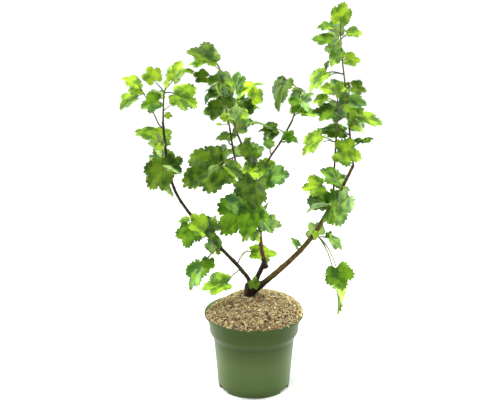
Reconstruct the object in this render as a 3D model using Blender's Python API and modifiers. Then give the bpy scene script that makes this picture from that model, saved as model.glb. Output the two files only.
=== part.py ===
"""A potted jostaberry bush, 0.74 m tall, in a three-litre plant pot.

The pot stands on z = 0 with its axis on the z axis, and the bush is seen from the front along +Y.
A heading is two angles in degrees: a clock angle, which turns from straight up towards +X, and a
lean forth, which turns from the upright plane towards the viewer. Limbs grow by internodes, each
with its length in millimetres and its heading, and so do the stems of the leaf masses.
"""

import math

import bmesh
import bpy
import numpy as np
from mathutils.bvhtree import BVHTree

MM = 0.001
GAP = 0.0003  # left between pieces that meet
SEED = 7
STEM_STEP = 0.026  # between the points of a stem's path, about

# Finishes
PLASTIC_COLOUR, PLASTIC_ROUGHNESS = (0.10, 0.16, 0.06), 0.45
MULCH_COLOUR, MULCH_ROUGHNESS = (0.42, 0.30, 0.15), 0.9
STUMP_COLOUR, BARK_COLOUR, BARK_ROUGHNESS = (0.03, 0.022, 0.016), (0.11, 0.07, 0.045), 0.8
LEAF_COLOUR, LEAF_ROUGHNESS = (0.10, 0.26, 0.03), 0.5

# Pot
POT_HEIGHT = 0.150
RIM_RADIUS = 0.095
RIM_DEPTH = 0.0045
RIM_ROUNDING = 0.0008
COLLAR_RADIUS = 0.0880
COLLAR_FOOT_RADIUS = 0.0850
COLLAR_FOOT = 0.1130
SHOULDER_RADIUS = 0.0776
SHOULDER = 0.1010
FOOT_RADIUS = 0.0682
FOOT_CHAMFER = (0.0006, 0.003)
WALL = 0.0018
FLOOR = 0.0025
POT_STEPS = 32
NOTCH_SIZE = (0.012, 0.031, 0.014)
NOTCH_TURNS = (90, 210, 330)  # degrees round the foot, from +X

# Mulch: a heap that spills over the rim, and sinks below it only at MULCH_LOW
MULCH_EDGE = 0.1560
MULCH_RISE = 0.0170  # its middle stands this much higher
MULCH_SWELL = 3.4
MULCH_LEAN = 0.0045  # it stands higher by this towards MULCH_HIGH
MULCH_HIGH = 45
MULCH_DIP = 0.0125  # and lower by this at MULCH_LOW
MULCH_LOW = 150
MULCH_LOW_WIDTH = 27
MULCH_ROUNDING = 22
MULCH_RADIUS = 0.0942  # where it lies on the rim
MULCH_SHARES = (0, 0.3, 0.56, 0.78, 0.92, 1)
MULCH_SPILL = (50, 70)  # degrees from MULCH_LOW, where it begins to lie on the rim and lies all over it

# Stump, where all the stems meet, and the short forks that stand out of it and of the centre foot.
# A fork starts some millimetres aside of the point at its share of the limb's length.
STUMP_PLACE = (-0.0099, 0.025)
STUMP_INTERNODES = ((5, 0, 0), (5, 14, 0), (5, 16, 0), (7, 8, 2))
STUMP_RADII = (10.6, 9.6, 10.4, 11.4, 10.8)
STUMP_STEP = 0.008  # it bends sooner than the stems do, so its path has closer points
FORKS = {
    "stump": dict(
        left=dict(share=0.62, aside=(4, 0), heading=(-18, 8), length=20, radius=4.4),
        centre=dict(share=0.72, aside=(5, 1), heading=(24, -10), length=25, radius=5.0),
        right=dict(share=0.28, aside=(6.4, 0), heading=(47, 8), length=31, radius=6.2)),
    "centre_foot": dict(
        pruned=dict(share=0.74, aside=(0, 0), heading=(152, 4), length=11, radius=4.9)),
}

# Each limb grows out of a fork, out of another's tip, some millimetres aside, or out of its side at a
# share of its length. Its radii are spread evenly along it.
LIMBS = {
    "left_stem": dict(
        of="stump", fork="left", radii=(4.2, 3.6, 3.2, 2.8, 2.5, 2.3),
        internodes=((6, -24, 10), (34, -34, 15), (60, -38, 17), (68, -37, 14),
                    (58, -32, 13), (40, -20, 12), (42, -10, 8), (74, -4, 6))),
    "centre_foot": dict(
        of="stump", fork="centre", radii=(5.0, 4.9, 5.0, 4.6),
        internodes=((13, 27, -14), (14, 25, -13), (8, -8, -10))),
    "centre_stem": dict(
        of="centre_foot", aside=(0, 0), radii=(4.4, 4.0, 3.7, 3.6, 6.0),
        internodes=((16, -15, -9), (29, -5, -10), (45, -3, -11), (7, -3, -11))),
    "branch_1": dict(
        of="centre_stem", aside=(-3.4, -1.6), radii=(2.3, 2.1, 1.9, 1.7),
        internodes=((28, -31, 10), (22, -33, 10), (17, -23, 10), (34, -11, 9),
                    (28, -11, 8), (47, -8, 7))),
    "branch_2": dict(
        of="centre_stem", aside=(-0.6, 3.4), radii=(2.4, 2.3, 2.2, 2.0),
        internodes=((31, -16, -11), (39, -12, -12), (33, -9, -14), (24, -29, -17),
                    (18, -24, -17))),
    "branch_3": dict(
        of="centre_stem", aside=(3.2, -1.6), radii=(2.2, 2.1, 2.0, 1.8),
        internodes=((39, 6, -13), (46, 9, -15), (44, 36, -19), (52, 30, -16))),
    "right_stem": dict(
        of="stump", fork="right", radii=(5.9, 5.2, 4.7, 4.1, 3.4, 2.7),
        internodes=((35, 46, 8), (33, 44, 9), (35, 41, 9), (46, 34, 10),
                    (58, 26, 12), (53, 26, 12), (43, 22, 11))),
    "outer_shoot": dict(
        of="right_stem", aside=(0, 0), radii=(1.9, 1.8, 1.6, 1.4),
        internodes=((43, -8, -1), (40, -6, -3), (34, -6, -5), (31, -7, -7), (37, -8, -6))),
    "inner_shoot": dict(
        of="right_stem", share=0.723, radii=(1.9, 1.8, 1.7, 1.5),
        internodes=((57, 0, 11), (40, 1, 11), (62, 1, 11))),
}

# The leaf masses. Each has a stem that starts clear of its limb, and leaves on it. A leaf is the
# share of the stem where it sits, its stalk (length, clock, forth) and its blade (length, clock,
# roll). A roll of 0 turns the blade's upper face to the viewer, and 180 its underside. With no
# share, the leaves sit evenly on the outer half of the stem. A blade that points up leans back and
# one that hangs leans forth, by up to LEAF_LEAN, unless its own lean forth comes last.
LEAF_LEAN = 12
SPUR_RADII = (1.5, 1.1)
STEM_SIDES = 5
# A mass with a number behind has as many more leaves on its far side, dealt out at random within
# these bounds: share, stalk and blade, whose own lean forth comes last.
BEHIND_SHARE = (0.25, 1)
BEHIND_STALK = ((22, 42), (120, 240), (-84, -58))
BEHIND_BLADE = ((22, 36), (-150, 150), (140, 220), (-60, -10))
MASSES = {
    "leaves_left_crown": dict(
        of="left_stem", aside=(0.6, 0), radii=(2.0, 1.2), internodes=((25, 2, 5), (29, 4, 4)),
        behind=1, leaves=(
            (1, (27, -40, -15), (28, -25, 0)), (1, (31, 35, 10), (33, 20, -40)),
            (1, (11, 20, 10), (14, 5, -50)), (0.52, (19, -35, 45), (32, -100, 35)),
            (0.96, (26, 105, -35), (44, 115, -55)), (0.34, (24, 45, 20), (11, 40, 0, -35)),
            (0.17, (8, 55, 30), (11, 100, 0, 15)))),
    "leaves_left_side": dict(
        of="left_stem", share=0.959, radii=(1.3, 0.9),
        internodes=((9, -36, 12), (15, -20, 8), (15, -25, -8), (15, -28, -17), (16, -27, -15), (9, -43, -13)),
        leaves=(
            (0.93, (19, -30, 25), (27, -65, 70)), (0.93, (6, -60, -40), (24, -90, 60)),
            (0.85, (24, -120, -30), (33, -120, 65)))),
    "leaves_left_upper": dict(
        of="left_stem", share=0.877, internodes=((8, -70, 10),),
        behind=2, leaves=(
            ((20, -30, -25), (39, -85, 140)), ((25, -25, 15), (33, -75, 65)),
            ((21, -20, -60), (26, 55, -35)), ((8, 60, 70), (12, -130, 0, 15)),
            ((17, 95, -20), (9, -5, 45)))),
    "leaves_left_middle": dict(
        of="left_stem", share=0.785, internodes=((7, -100, 35),),
        behind=2, leaves=(
            ((22, 5, 20), (22, 0, 0, -50)), ((12, 85, 80), (50, -135, 35)),
            ((9, 95, 25), (32, 60, -30)), ((13, 110, 40), (30, 105, -115)),
            ((10, 145, 25), (47, -175, 100)))),
    "leaves_left_lower": dict(
        of="left_stem", share=0.386, internodes=((9, -60, 55),),
        behind=2, leaves=(
            ((8, 30, 30), (33, -35, 15)), ((22, -60, 30), (40, -170, 0, 15)),
            ((9, 45, 45), (34, 80, -40)), ((29, -55, -25), (21, -100, 75)),
            ((29, 60, 5), (16, 25, -55)), ((22, 120, -15), (26, 110, -80)),
            ((14, 85, 55), (27, -70, 65)))),
    "leaves_left_low": dict(
        of="left_stem", share=0.253, internodes=((8, -125, 20),),
        behind=1, leaves=(
            ((45, -140, 10), (48, -143, 68)), ((23, -135, 35), (25, -170, 0, 25)),
            ((15, 25, 35), (9, 55, -45)), ((10, 105, 0), (9, -95, 40)))),
    "leaves_low_left": dict(
        of="left_stem", share=0.079, internodes=((7, -130, 10),),
        leaves=(((27, -130, 20), (50, -100, 60)),)),
    "leaves_low_back": dict(
        of="left_stem", share=0.110, internodes=((8, 25, -20),),
        leaves=(((60, 96, -61), (46, 94, -72, 0)), ((58, 91, -67), (18, 80, 30)))),
    "leaves_centre_left": dict(
        of="branch_2", share=0.70, radii=(1.7, 1.2),
        internodes=((41, -50, 68), (16, -70, 60), (8, -100, 25), (17, -110, 10)),
        behind=1, leaves=(
            (1, (11, -125, 0), (77, -120, 30)), (1, (9, -95, -10), (35, 5, -50)),
            (1, (21, -120, 35), (25, -130, 130)), (1, (13, 150, 40), (36, 115, -80)))),
    "leaves_centre_front": dict(
        of="centre_stem", share=0.930, internodes=((12, -60, 60),),
        behind=3, leaves=(
            ((72, 0, 20), (57, -170, 40)), ((24, -40, 25), (72, -135, 25)),
            ((5, -25, 50), (44, -165, 105)), ((34, -70, 5), (33, -45, 45)))),
    "leaves_centre_stem": dict(
        of="centre_stem", share=0.639, internodes=((8, 60, 40),),
        behind=2, leaves=(
            ((18, -10, 20), (34, 140, -55)), ((21, -50, 35), (20, 25, -60)),
            ((24, 5, 0), (25, 10, -75)), ((35, -110, 25), (21, -145, 45)),
            ((28, -110, 45), (23, 155, -50)), ((29, -105, 30), (20, 180, -60)))),
    "leaves_fork_left": dict(
        of="branch_2", share=0.47, internodes=((9, -60, 50),),
        behind=2, leaves=(
            ((26, 55, 35), (27, 130, -60)), ((34, 95, 10), (15, 20, -50)),
            ((26, 60, 55), (38, -110, 60)), ((21, 60, 20), (13, -95, 70)),
            ((33, -125, 25), (22, -40, 75)), ((25, 25, 10), (16, -105, 65)))),
    "leaves_fork_right": dict(
        of="branch_3", share=0.37, internodes=((7, 70, 20),),
        behind=3, leaves=(
            ((14, 120, 35), (34, 85, -40)), ((19, -150, 40), (24, 120, -25)),
            ((14, -40, -35), (22, 55, -55)), ((20, -65, 20), (21, 70, -65)),
            ((19, -45, -25), (12, -25, 30)))),
    "leaves_centre_back": dict(
        of="branch_2", share=0.69, internodes=((7, 60, 30),),
        behind=2, leaves=(
            ((9, 175, 65), (25, 20, -25)), ((13, -20, 40), (23, -55, 30)),
            ((28, -25, 10), (16, 50, -65)), ((8, 160, 45), (20, 165, -50)))),
    "leaves_branch_1": dict(
        of="branch_1", share=0.78, internodes=((5, -40, 15),),
        leaves=(((16, -10, 30), (23, -85, 80)), ((12, 5, -55), (17, 70, -65)))),
    "leaves_top_1": dict(
        of="branch_1", aside=(0, 0), radii=(1.6, 1.2),
        internodes=((36, -10, 6), (27, -10, 6), (30, -5, 4), (11, 0, 5)),
        behind=7, leaves=(
            (0.05, (17, -85, 20), (8, -80, 75)), (1, (35, -30, 25), (50, -65, 55)),
            (1, (28, -35, -10), (14, 10, -45)), (1, (31, -40, -5), (42, -90, 80)),
            (0.84, (34, -70, 15), (23, -70, 35)), (0.84, (58, -70, 0), (18, -80, 75)),
            (0.82, (23, -50, 45), (21, -100, 55)), (0.86, (32, -75, -10), (10, 0, -50)),
            (0.69, (14, -45, 45), (26, -90, 130)), (0.68, (18, -65, 65), (16, -15, 60)),
            (0.66, (25, -75, 55), (21, -105, 60)), (0.62, (16, -70, 20), (13, -160, 140)),
            (0.56, (26, -90, 5), (14, -140, 120)), (0.38, (19, -75, 50), (32, -105, 40)),
            (0.40, (9, -30, 70), (21, -40, 40)), (0.39, (12, 25, 55), (19, 45, -40)),
            (0.22, (12, -35, 80), (14, -105, 0, 5)), (0.78, (9, 100, 70), (19, 140, -75)),
            (0.80, (9, 135, -25), (10, 105, -140)), (0.88, (11, 145, -50), (15, 105, -50)))),
    "leaves_top_2": dict(
        of="branch_2", aside=(0, 0), radii=(1.8, 1.2),
        internodes=((20, -18, -12), (19, -12, -12), (19, 12, -18), (16, 32, -23)),
        behind=5, leaves=(
            (0.99, (22, -10, 15), (34, 0, -45)), (0.76, (44, 60, 25), (28, 60, 0, -25)),
            (0.96, (17, 15, -30), (46, 65, -75)), (0.90, (18, 55, 25), (13, -90, 40)),
            (0.10, (57, 10, 30), (32, -155, 0, 50)), (0.58, (39, 45, 60), (23, -85, 30)),
            (0.60, (24, 50, 50), (16, -10, 55)), (0.81, (27, 110, -20), (18, 25, -20)),
            (0.73, (26, 100, -15), (16, 125, -25)), (0.81, (34, 105, -30), (19, 100, -75)),
            (0.17, (30, 70, 5), (13, -5, 40)), (0.08, (35, 55, 15), (42, 95, -110)))),
    "leaves_branch_3_low": dict(
        of="branch_3", share=0.57, internodes=((5, -15, 0),),
        leaves=(((14, -5, 15), (18, -40, 35)), ((11, -5, 10), (13, 45, -40)))),
    "leaves_branch_3_right": dict(
        of="branch_3", share=0.75, internodes=((5, 100, 10),),
        leaves=(
            ((10, 45, 35), (22, 35, -40)), ((4, -25, 70), (13, 80, -115)),
            ((14, 60, 0), (17, 120, -75)))),
    "leaves_branch_3_left": dict(
        of="branch_3", share=0.85, internodes=((5, -60, 10),),
        leaves=(((16, -65, 20), (28, -115, 40)), ((18, -65, 15), (34, -95, 80)))),
    "leaves_top_3": dict(
        of="branch_3", aside=(0, 0), radii=(1.7, 1.2),
        internodes=((34, 18, -12), (20, 16, -15), (7, 12, -17)),
        behind=2, leaves=(
            (0.92, (38, -60, 10), (55, -165, 60)), (0.92, (37, -60, 5), (16, -35, 125)),
            (0.66, (14, -160, 85), (18, -65, 35)), (0.53, (12, 40, 85), (19, -140, 55)),
            (0.73, (10, 140, -25), (26, 55, -135)), (0.68, (14, 105, 10), (22, 140, -70)),
            (0.11, (21, 55, 25), (39, 100, -75)), (0.64, (11, 125, 45), (23, 130, -70)),
            (0.14, (24, 60, 35), (17, 95, -60)))),
    "leaves_outer_top": dict(
        of="outer_shoot", aside=(0, 0), radii=(1.3, 0.9),
        internodes=((32, -6, -5), (16, -4, -4), (28, 0, -4)),
        behind=3, leaves=(
            (0.97, (3, -35, 20), (34, 10, -20)), (0.67, (23, -55, -20), (25, -85, 75)),
            (0.70, (22, -60, -25), (16, 5, -75)), (0.54, (21, 45, 15), (24, 85, -65)),
            (0.56, (19, 50, 5), (11, -60, 70)), (0.42, (25, -60, 20), (30, -80, 65)),
            (0.44, (23, -70, -5), (14, -30, 135)), (0.40, (21, -35, 40), (13, -125, 145)),
            (0.17, (11, -55, 60), (17, -25, 30)), (0.19, (12, -45, 75), (15, 15, -45)),
            (0.12, (20, -50, 45), (22, -150, 45)), (0.07, (25, -100, -10), (14, -160, 65)),
            (0.06, (10, 55, 35), (26, 90, -45)), (0.08, (7, 75, -35), (15, -15, 75)))),
    "leaves_outer_left": dict(
        of="outer_shoot", share=0.90, internodes=((6, -80, 15),),
        leaves=(
            ((30, -90, 10), (41, -125, 74)), ((27, -90, -5), (20, -110, 75)),
            ((28, -95, -10), (12, 20, -65)))),
    "leaves_outer_high": dict(
        of="outer_shoot", share=0.74, internodes=((8, 40, 35),),
        behind=1, leaves=(
            ((7, -55, 35), (14, 35, -30)), ((8, 80, 30), (25, 100, -45)),
            ((9, -90, 45), (20, 165, -65)), ((18, -160, 35), (14, -95, 0, 15)))),
    "leaves_outer_middle": dict(
        of="outer_shoot", share=0.60, internodes=((8, 55, 30),),
        behind=2, leaves=(
            ((4, 0, 25), (29, 95, -50)), ((9, -100, 65), (19, 155, -10)),
            ((5, -5, -50), (11, 30, -135)), ((16, 140, 20), (15, 135, -35)))),
    "leaves_outer_low": dict(
        of="outer_shoot", share=0.40, internodes=((7, 60, 25),),
        behind=1, leaves=(
            ((17, 60, -20), (42, 95, -75)), ((21, 60, 0), (20, 85, -70)),
            ((9, -30, 45), (32, 120, -60)), ((10, -75, 40), (8, -10, 45)))),
    "leaves_outer_back": dict(
        of="outer_shoot", share=0.30, internodes=((6, -60, -20),),
        leaves=(
            ((12, -95, -60), (41, -90, 65)), ((18, -65, -50), (31, -90, 75)),
            ((9, -115, -40), (11, -145, 45)))),
    "leaves_outer_foot": dict(
        of="outer_shoot", share=0.16, internodes=((5, 50, -20),),
        leaves=(
            ((18, 55, -15), (16, -95, 80)), ((19, 55, -5), (18, 70, -80)),
            ((20, 55, 5), (10, 115, -55)))),
    "leaves_inner_top": dict(
        of="inner_shoot", aside=(0, 0), radii=(1.4, 1.0), internodes=((23, 0, 12), (14, -5, 12)),
        behind=2, leaves=(
            (0.98, (24, -35, 15), (18, -85, 40)), (1, (17, 10, 15), (14, -10, 0)),
            (0.98, (21, 15, 20), (10, 85, -30)), (0.71, (24, -70, -20), (24, -105, 70)),
            (0.76, (27, -80, -20), (13, 55, -75)), (0.19, (10, -95, -50), (39, -85, 70)),
            (0.14, (10, -85, -10), (26, -110, 65)))),
    "leaves_inner_left": dict(
        of="inner_shoot", share=0.70, internodes=((5, -85, 10),),
        leaves=(((23, -80, -25), (47, -125, 80)), ((22, -85, -30), (10, -5, 50)))),
    "leaves_inner_front": dict(
        of="inner_shoot", share=0.56, internodes=((6, 60, 40),),
        leaves=(((5, -45, 60), (42, 100, -40)),)),
    "leaves_inner_low": dict(
        of="inner_shoot", share=0.12, internodes=((6, 20, 45),),
        behind=2, leaves=(
            ((15, 10, 40), (39, -60, 65)), ((14, 15, 55), (23, 70, 0, -25)),
            ((15, 0, 30), (19, 15, -50)))),
    "leaves_right_left": dict(
        of="right_stem", share=0.707, internodes=((9, -40, 30),),
        behind=3, leaves=(
            ((36, -25, 5), (35, -95, 50)), ((22, -165, -66), (34, -70, 50)),
            ((16, -135, 65), (40, -95, 110)), ((19, -20, 75), (16, -165, 45)))),
    "leaves_right_front": dict(
        of="right_stem", share=0.707, internodes=((10, 70, 60),),
        behind=1, leaves=(((10, -100, 35), (67, 95, 0, -35)), ((36, 20, -5), (14, 115, -120)))),
    "leaves_right_low": dict(
        of="right_stem", share=0.467, internodes=((7, 110, 20),),
        behind=1, leaves=(
            ((70, 150, 5), (46, 160, 0, 30)), ((101, 160, 0), (60, 170, -85)),
            ((18, 85, 20), (13, 30, -25)), ((23, 90, 25), (31, 130, -70)),
            ((18, -45, 25), (11, 130, -30)))),
    "leaves_right_foot": dict(
        of="right_stem", share=0.320, internodes=((4, -30, 20),),
        leaves=(((6, -5, 30), (20, -35, 70)), ((8, 5, 40), (10, 0, 55)))),
    "leaf_stump": dict(
        of="stump", share=0.85, internodes=((4, 0, 88),),
        leaves=(((9, 50, 25), (20, 2, -20)),)),
}

# Leaf outline: the furthest of five round lobes. Each is a disc: its angle from the midrib, how far
# off the stalk its middle lies and its radius, both as shares of the blade's length.
LOBES = ((0, 0.68, 0.32), (50, 0.58, 0.28), (94, 0.34, 0.22))
STALK_NOTCH = 0.06  # the reach where the stalk comes in
RIM_ANGLES = {  # from the midrib, for blades of at least so many millimetres
    38: (0, 14, 25, 36, 50, 64, 77, 94, 114, 134),
    15: (0, 25, 50, 78, 100, 134),
    0: (0, 26, 54, 110)}
BLADE_MIDDLE = 0.36  # the thickest place, as a share of the blade's length
BLADE_THICKNESS = 0.02  # there, as a share of its length
BLADE_THINNEST = 0.0008
BLADE_WIDTHS = (0.82, 0.94)  # how far the outline is drawn in across the midrib
BLADE_FOLDS = (0.05, 0.3)  # the rise of its halves
BLADE_CURLS = (0.02, 0.2)  # the fall of its tip
STALK_CORNERS = ((0.87, 0.5), (-0.87, 0.5), (0, -1))
STALK_RADII = (0.85, 0.6)
STALK_STOUTNESS = ((0.01, 0.06), (0.75, 1.2))  # blade lengths, and the radii's factor for each
STALK_STEPS = ((0.020, 2), (0.045, 3), (math.inf, 4))  # up to each reach, a stalk's number of steps
SHIFTS = (0, 3, -3, 6, -6, 9, -9, 13, -13, 17, -17, 22, -22, 28, -28)  # millimetres along VIEW
VIEW = np.array((0, 0.953, -0.302))
SHIFT_LEAN = 0.6  # degrees back for each millimetre


def heading(clock, forth):
    """The unit vector of a heading."""
    clock, forth = math.radians(clock), math.radians(forth)
    return np.array((math.sin(clock) * math.cos(forth), -math.sin(forth), math.cos(clock) * math.cos(forth)))


def unit(vector):
    return vector / np.linalg.norm(vector)


def grown(start, internodes, step=STEM_STEP):
    """A smooth path through the ends of the internodes, with a point about every step."""
    knots = [np.asarray(start, float)]
    for length, clock, forth in internodes:
        knots.append(knots[-1] + length * MM * heading(clock, forth))
    knots = np.array(knots)
    slopes = np.gradient(knots, axis=0)
    path = [knots[0]]
    for a, b, slope_a, slope_b in zip(knots, knots[1:], slopes, slopes[1:]):
        count = max(1, round(np.linalg.norm(b - a) / step))
        for t in np.arange(1, count + 1) / count:
            path.append(
                (1 + 2 * t) * (1 - t) ** 2 * a + t * (1 - t) ** 2 * slope_a
                + t * t * (3 - 2 * t) * b + t * t * (t - 1) * slope_b)
    return np.array(path)


def shares_of(path):
    lengths = np.linalg.norm(np.diff(path, axis=0), axis=1)
    return np.r_[0, np.cumsum(lengths)] / lengths.sum()


def place_on(path, share):
    """The point at a share of the path's length, and the path's direction there."""
    shares = shares_of(path)
    point = np.array([np.interp(share, shares, path[:, k]) for k in range(3)])
    part = min(np.searchsorted(shares, share, side="right"), len(path) - 1)
    return point, unit(path[part] - path[part - 1])


def taper(path, radii):
    """The radius in metres at each point of the path, from radii in millimetres spread along it."""
    return np.interp(shares_of(path), np.linspace(0, 1, len(radii)), radii) * MM


def start_clear(limb, spec):
    """Where a stem starts so that its end face stays GAP clear of the limb it leaves."""
    path, radii = limb["path"], limb["radii"]
    if "fork" in spec:
        path = fork_path(limb, FORKS[spec["of"]][spec["fork"]])
    direction = heading(*spec["internodes"][0][1:])
    own = spec.get("radii", SPUR_RADII)[0] * MM
    if "share" in spec:
        point, along = place_on(path, spec["share"])
        radius = np.interp(spec["share"], shares_of(path), radii)
        cosine = abs(direction @ along)
        sine = math.sqrt(1 - cosine ** 2)
        return point + direction * (radius + GAP + own * cosine) / sine
    along = unit(path[-1] - path[-2])
    sine = math.sqrt(max(0, 1 - (direction @ along) ** 2))
    aside = np.array((*spec.get("aside", (0, 0)), 0)) * MM
    aside -= along * (along @ aside)
    return path[-1] + aside + along * (own * sine + GAP)


def fork_path(limb, fork):
    start, _ = place_on(limb["path"], fork["share"])
    start = start + np.array((*fork["aside"], 0)) * MM
    return np.array((start, start + fork["length"] * MM * heading(*fork["heading"])))


def tube(path, radii, sides):
    """A closed tube along a path: a ring of points round each point of it, and a flat face at each end."""
    along = np.array([unit(v) for v in np.gradient(path, axis=0)])
    side = unit(np.cross(along[0], (0.3, 1, 0.2)))
    turns = 2 * math.pi * np.arange(sides) / sides
    points = []
    for centre, direction, radius in zip(path, along, radii):
        side = unit(side - direction * (side @ direction))
        other = np.cross(direction, side)
        points.append(centre + radius * (np.outer(np.cos(turns), side) + np.outer(np.sin(turns), other)))
    points = np.concatenate(points)
    faces = []
    for ring in range(len(path) - 1):
        for k in range(sides):
            a, b = ring * sides + k, ring * sides + (k + 1) % sides
            faces.append((a, b, b + sides, a + sides))
    faces.append(tuple(range(sides))[::-1])
    faces.append(tuple(range(len(points) - sides, len(points))))
    return points, faces


def outline_reach(turns):
    """How far a leaf reaches from its stalk at each turn, as shares of its length."""
    reach = np.full(len(turns), STALK_NOTCH)
    for angle, off, radius in LOBES:
        away = np.abs(np.abs(turns) - math.radians(angle))
        inside = radius ** 2 - (off * np.sin(away)) ** 2
        far = off * np.cos(away) + np.sqrt(np.maximum(inside, 0))
        reach = np.maximum(reach, np.where((inside > 0) & (away < math.pi / 2), far, 0))
    return reach


def lift(across, ahead, length, fold, curl):
    """How far the blade stands off its flat plane: its halves fold up, and its tip curls down."""
    return fold * np.abs(across) - curl * length * (ahead / length) ** 2


def blade_frame(clock, forth, roll):
    """The rows are the blade's axes: across it, along its midrib, and off its upper face."""
    midrib = heading(clock, forth)
    viewer = np.array((0.0, -1.0, 0.0))
    facing = unit(viewer - midrib * (viewer @ midrib))
    roll = math.radians(roll)
    normal = math.cos(roll) * facing + math.sin(roll) * np.cross(midrib, facing)
    return np.array((np.cross(midrib, normal), midrib, normal))


def stalk_path(seat, base, midrib):
    """From inside the stem up and over to the blade, which it meets along its midrib."""
    reach = np.linalg.norm(base - seat)
    out = unit(unit(base - seat) + np.array((0, 0, 0.5)))
    a, b, c, d = seat, seat + 0.35 * reach * out, base - 0.3 * reach * midrib, base
    count = next(steps for most, steps in STALK_STEPS if reach < most)
    return np.array([
        (1 - t) ** 3 * a + 3 * t * (1 - t) ** 2 * b + 3 * t * t * (1 - t) * c + t ** 3 * d
        for t in np.arange(count + 1) / count])


def leaves_of(spec, order):
    """Each leaf of a mass as share, stalk and blade, with its share and its lean filled in. The
    leaves on its far side come last."""
    count = len(spec["leaves"])
    for number, leaf in enumerate(spec["leaves"]):
        share = leaf[0] if len(leaf) == 3 else 0.5 + 0.5 * (number + 1) / count
        length, clock, roll, *lean = leaf[-1]
        lean = lean[0] if lean else -LEAF_LEAN * math.cos(math.radians(clock))
        yield share, leaf[-2], (length, clock, roll, lean)
    rng = np.random.default_rng((SEED, order))
    for _ in range(spec.get("behind", 0)):
        stalk, blade = (tuple(rng.uniform(*span) for span in spans) for spans in (BEHIND_STALK, BEHIND_BLADE))
        yield rng.uniform(*BEHIND_SHARE), stalk, blade


def leaf_piece(stem, leaf, rng, shift):
    """One leaf as a closed piece: its points, the faces of its blade and those of its stalk. The
    blade is a lens with the lobed outline for its rim, and the stalk a three-sided tube whose last
    ring is the rim's place at the notch: right, left and below."""
    share, (reach, clock, forth), (length, blade_clock, roll, lean) = leaf
    width, fold, curl = (rng.uniform(*span) for span in (BLADE_WIDTHS, BLADE_FOLDS, BLADE_CURLS))
    length *= MM
    seat, _ = place_on(stem, share)
    base = seat + reach * MM * heading(clock, forth) + shift * MM * VIEW
    frame = blade_frame(blade_clock, lean - SHIFT_LEAN * shift, roll)
    path = stalk_path(seat, base, frame[1])
    radii = taper(path, STALK_RADII) * np.interp(length, *STALK_STOUTNESS)
    rings = []
    across = frame[0]
    for centre, direction, radius in list(zip(path, np.gradient(path, axis=0), radii))[::-1]:
        direction = frame[1] if not rings else unit(direction)
        across = unit(across - direction * (across @ direction))
        up = np.cross(across, direction)
        rings.append([centre + radius * np.array((c, s)) @ (across, up) for c, s in STALK_CORNERS])
    stalk = np.array(rings[::-1]).reshape(-1, 3)
    right, left, below = range(len(stalk) - 3, len(stalk))

    turns = np.radians(next(angles for least, angles in RIM_ANGLES.items() if length >= least * MM))
    reach = outline_reach(turns) * length
    side, ahead = width * reach * np.sin(turns), reach * np.cos(turns)
    side, ahead = np.r_[side, -side[:0:-1]], np.r_[ahead, ahead[:0:-1]]
    rim = np.c_[side, ahead, lift(side, ahead, length, fold, curl)]
    ahead = BLADE_MIDDLE * length
    middle = lift(0, ahead, length, fold, curl)
    thick = max(BLADE_THICKNESS * length, BLADE_THINNEST) / 2
    lens = base + np.r_[rim, [(0, ahead, middle + thick)], [(0, ahead, middle - thick)]] @ frame
    top, bottom = len(stalk) + len(rim), len(stalk) + len(rim) + 1
    far, near = list(range(len(stalk), len(stalk) + len(turns))), list(range(len(stalk) + len(turns), top))
    upper, lower = far + [right, left] + near, far + [right, below, left] + near
    blade = [(b, a, top) for a, b in zip(upper, upper[1:] + upper[:1])]
    blade += [(a, b, bottom) for a, b in zip(lower, lower[1:] + lower[:1])]
    tube_faces = [(0, 1, 2)]
    for ring in range(0, right, 3):
        for a, b in ((0, 1), (1, 2), (2, 0)):
            tube_faces.append((ring + b, ring + a, ring + a + 3, ring + b + 3))
    return np.r_[stalk, lens], blade, tube_faces


def tree_of(pieces):
    """What overlap tests need of some pieces, joined."""
    points, faces, count = [], [], 0
    for some, rings in pieces:
        points.append(some)
        faces += [tuple(k + count for k in ring) for ring in rings]
        count += len(some)
    points = np.concatenate(points)
    return BVHTree.FromPolygons(points.tolist(), faces, epsilon=GAP), points.min(axis=0), points.max(axis=0)


def touches(tree, others):
    bvh, low, high = tree
    return any(
        (low <= their_high + GAP).all() and (high >= their_low - GAP).all() and bvh.overlap(their_bvh)
        for their_bvh, their_low, their_high in others)


def material_of(name, colour, roughness):
    material = bpy.data.materials.new(name)
    material.use_nodes = True
    shader = material.node_tree.nodes["Principled BSDF"]
    shader.inputs["Base Color"].default_value = (*colour, 1)
    shader.inputs["Roughness"].default_value = roughness
    shader.inputs["Metallic"].default_value = 0
    return material


def add_object(name, mesh, collection, colour, roughness):
    obj = bpy.data.objects.new(name, mesh)
    mesh.materials.clear()
    mesh.materials.append(material_of(name, colour, roughness))
    collection.objects.link(obj)
    return obj


def mesh_of(name, points, faces):
    mesh = bpy.data.meshes.new(name)
    mesh.from_pydata(np.asarray(points).tolist(), [], faces)
    mesh.update()
    return mesh


def evaluated_mesh(obj):
    """The object's mesh with its modifiers applied and its doubled points welded."""
    bpy.context.view_layer.update()
    graph = bpy.context.evaluated_depsgraph_get()
    return weld(bpy.data.meshes.new_from_object(obj.evaluated_get(graph)))


def weld(mesh):
    """Joins points that lie on each other."""
    work = bmesh.new()
    work.from_mesh(mesh)
    bmesh.ops.remove_doubles(work, verts=work.verts, dist=1e-6)
    work.to_mesh(mesh)
    work.free()
    return mesh


def remove_objects(objects):
    for obj in list(objects):
        bpy.data.objects.remove(obj, do_unlink=True)


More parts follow.
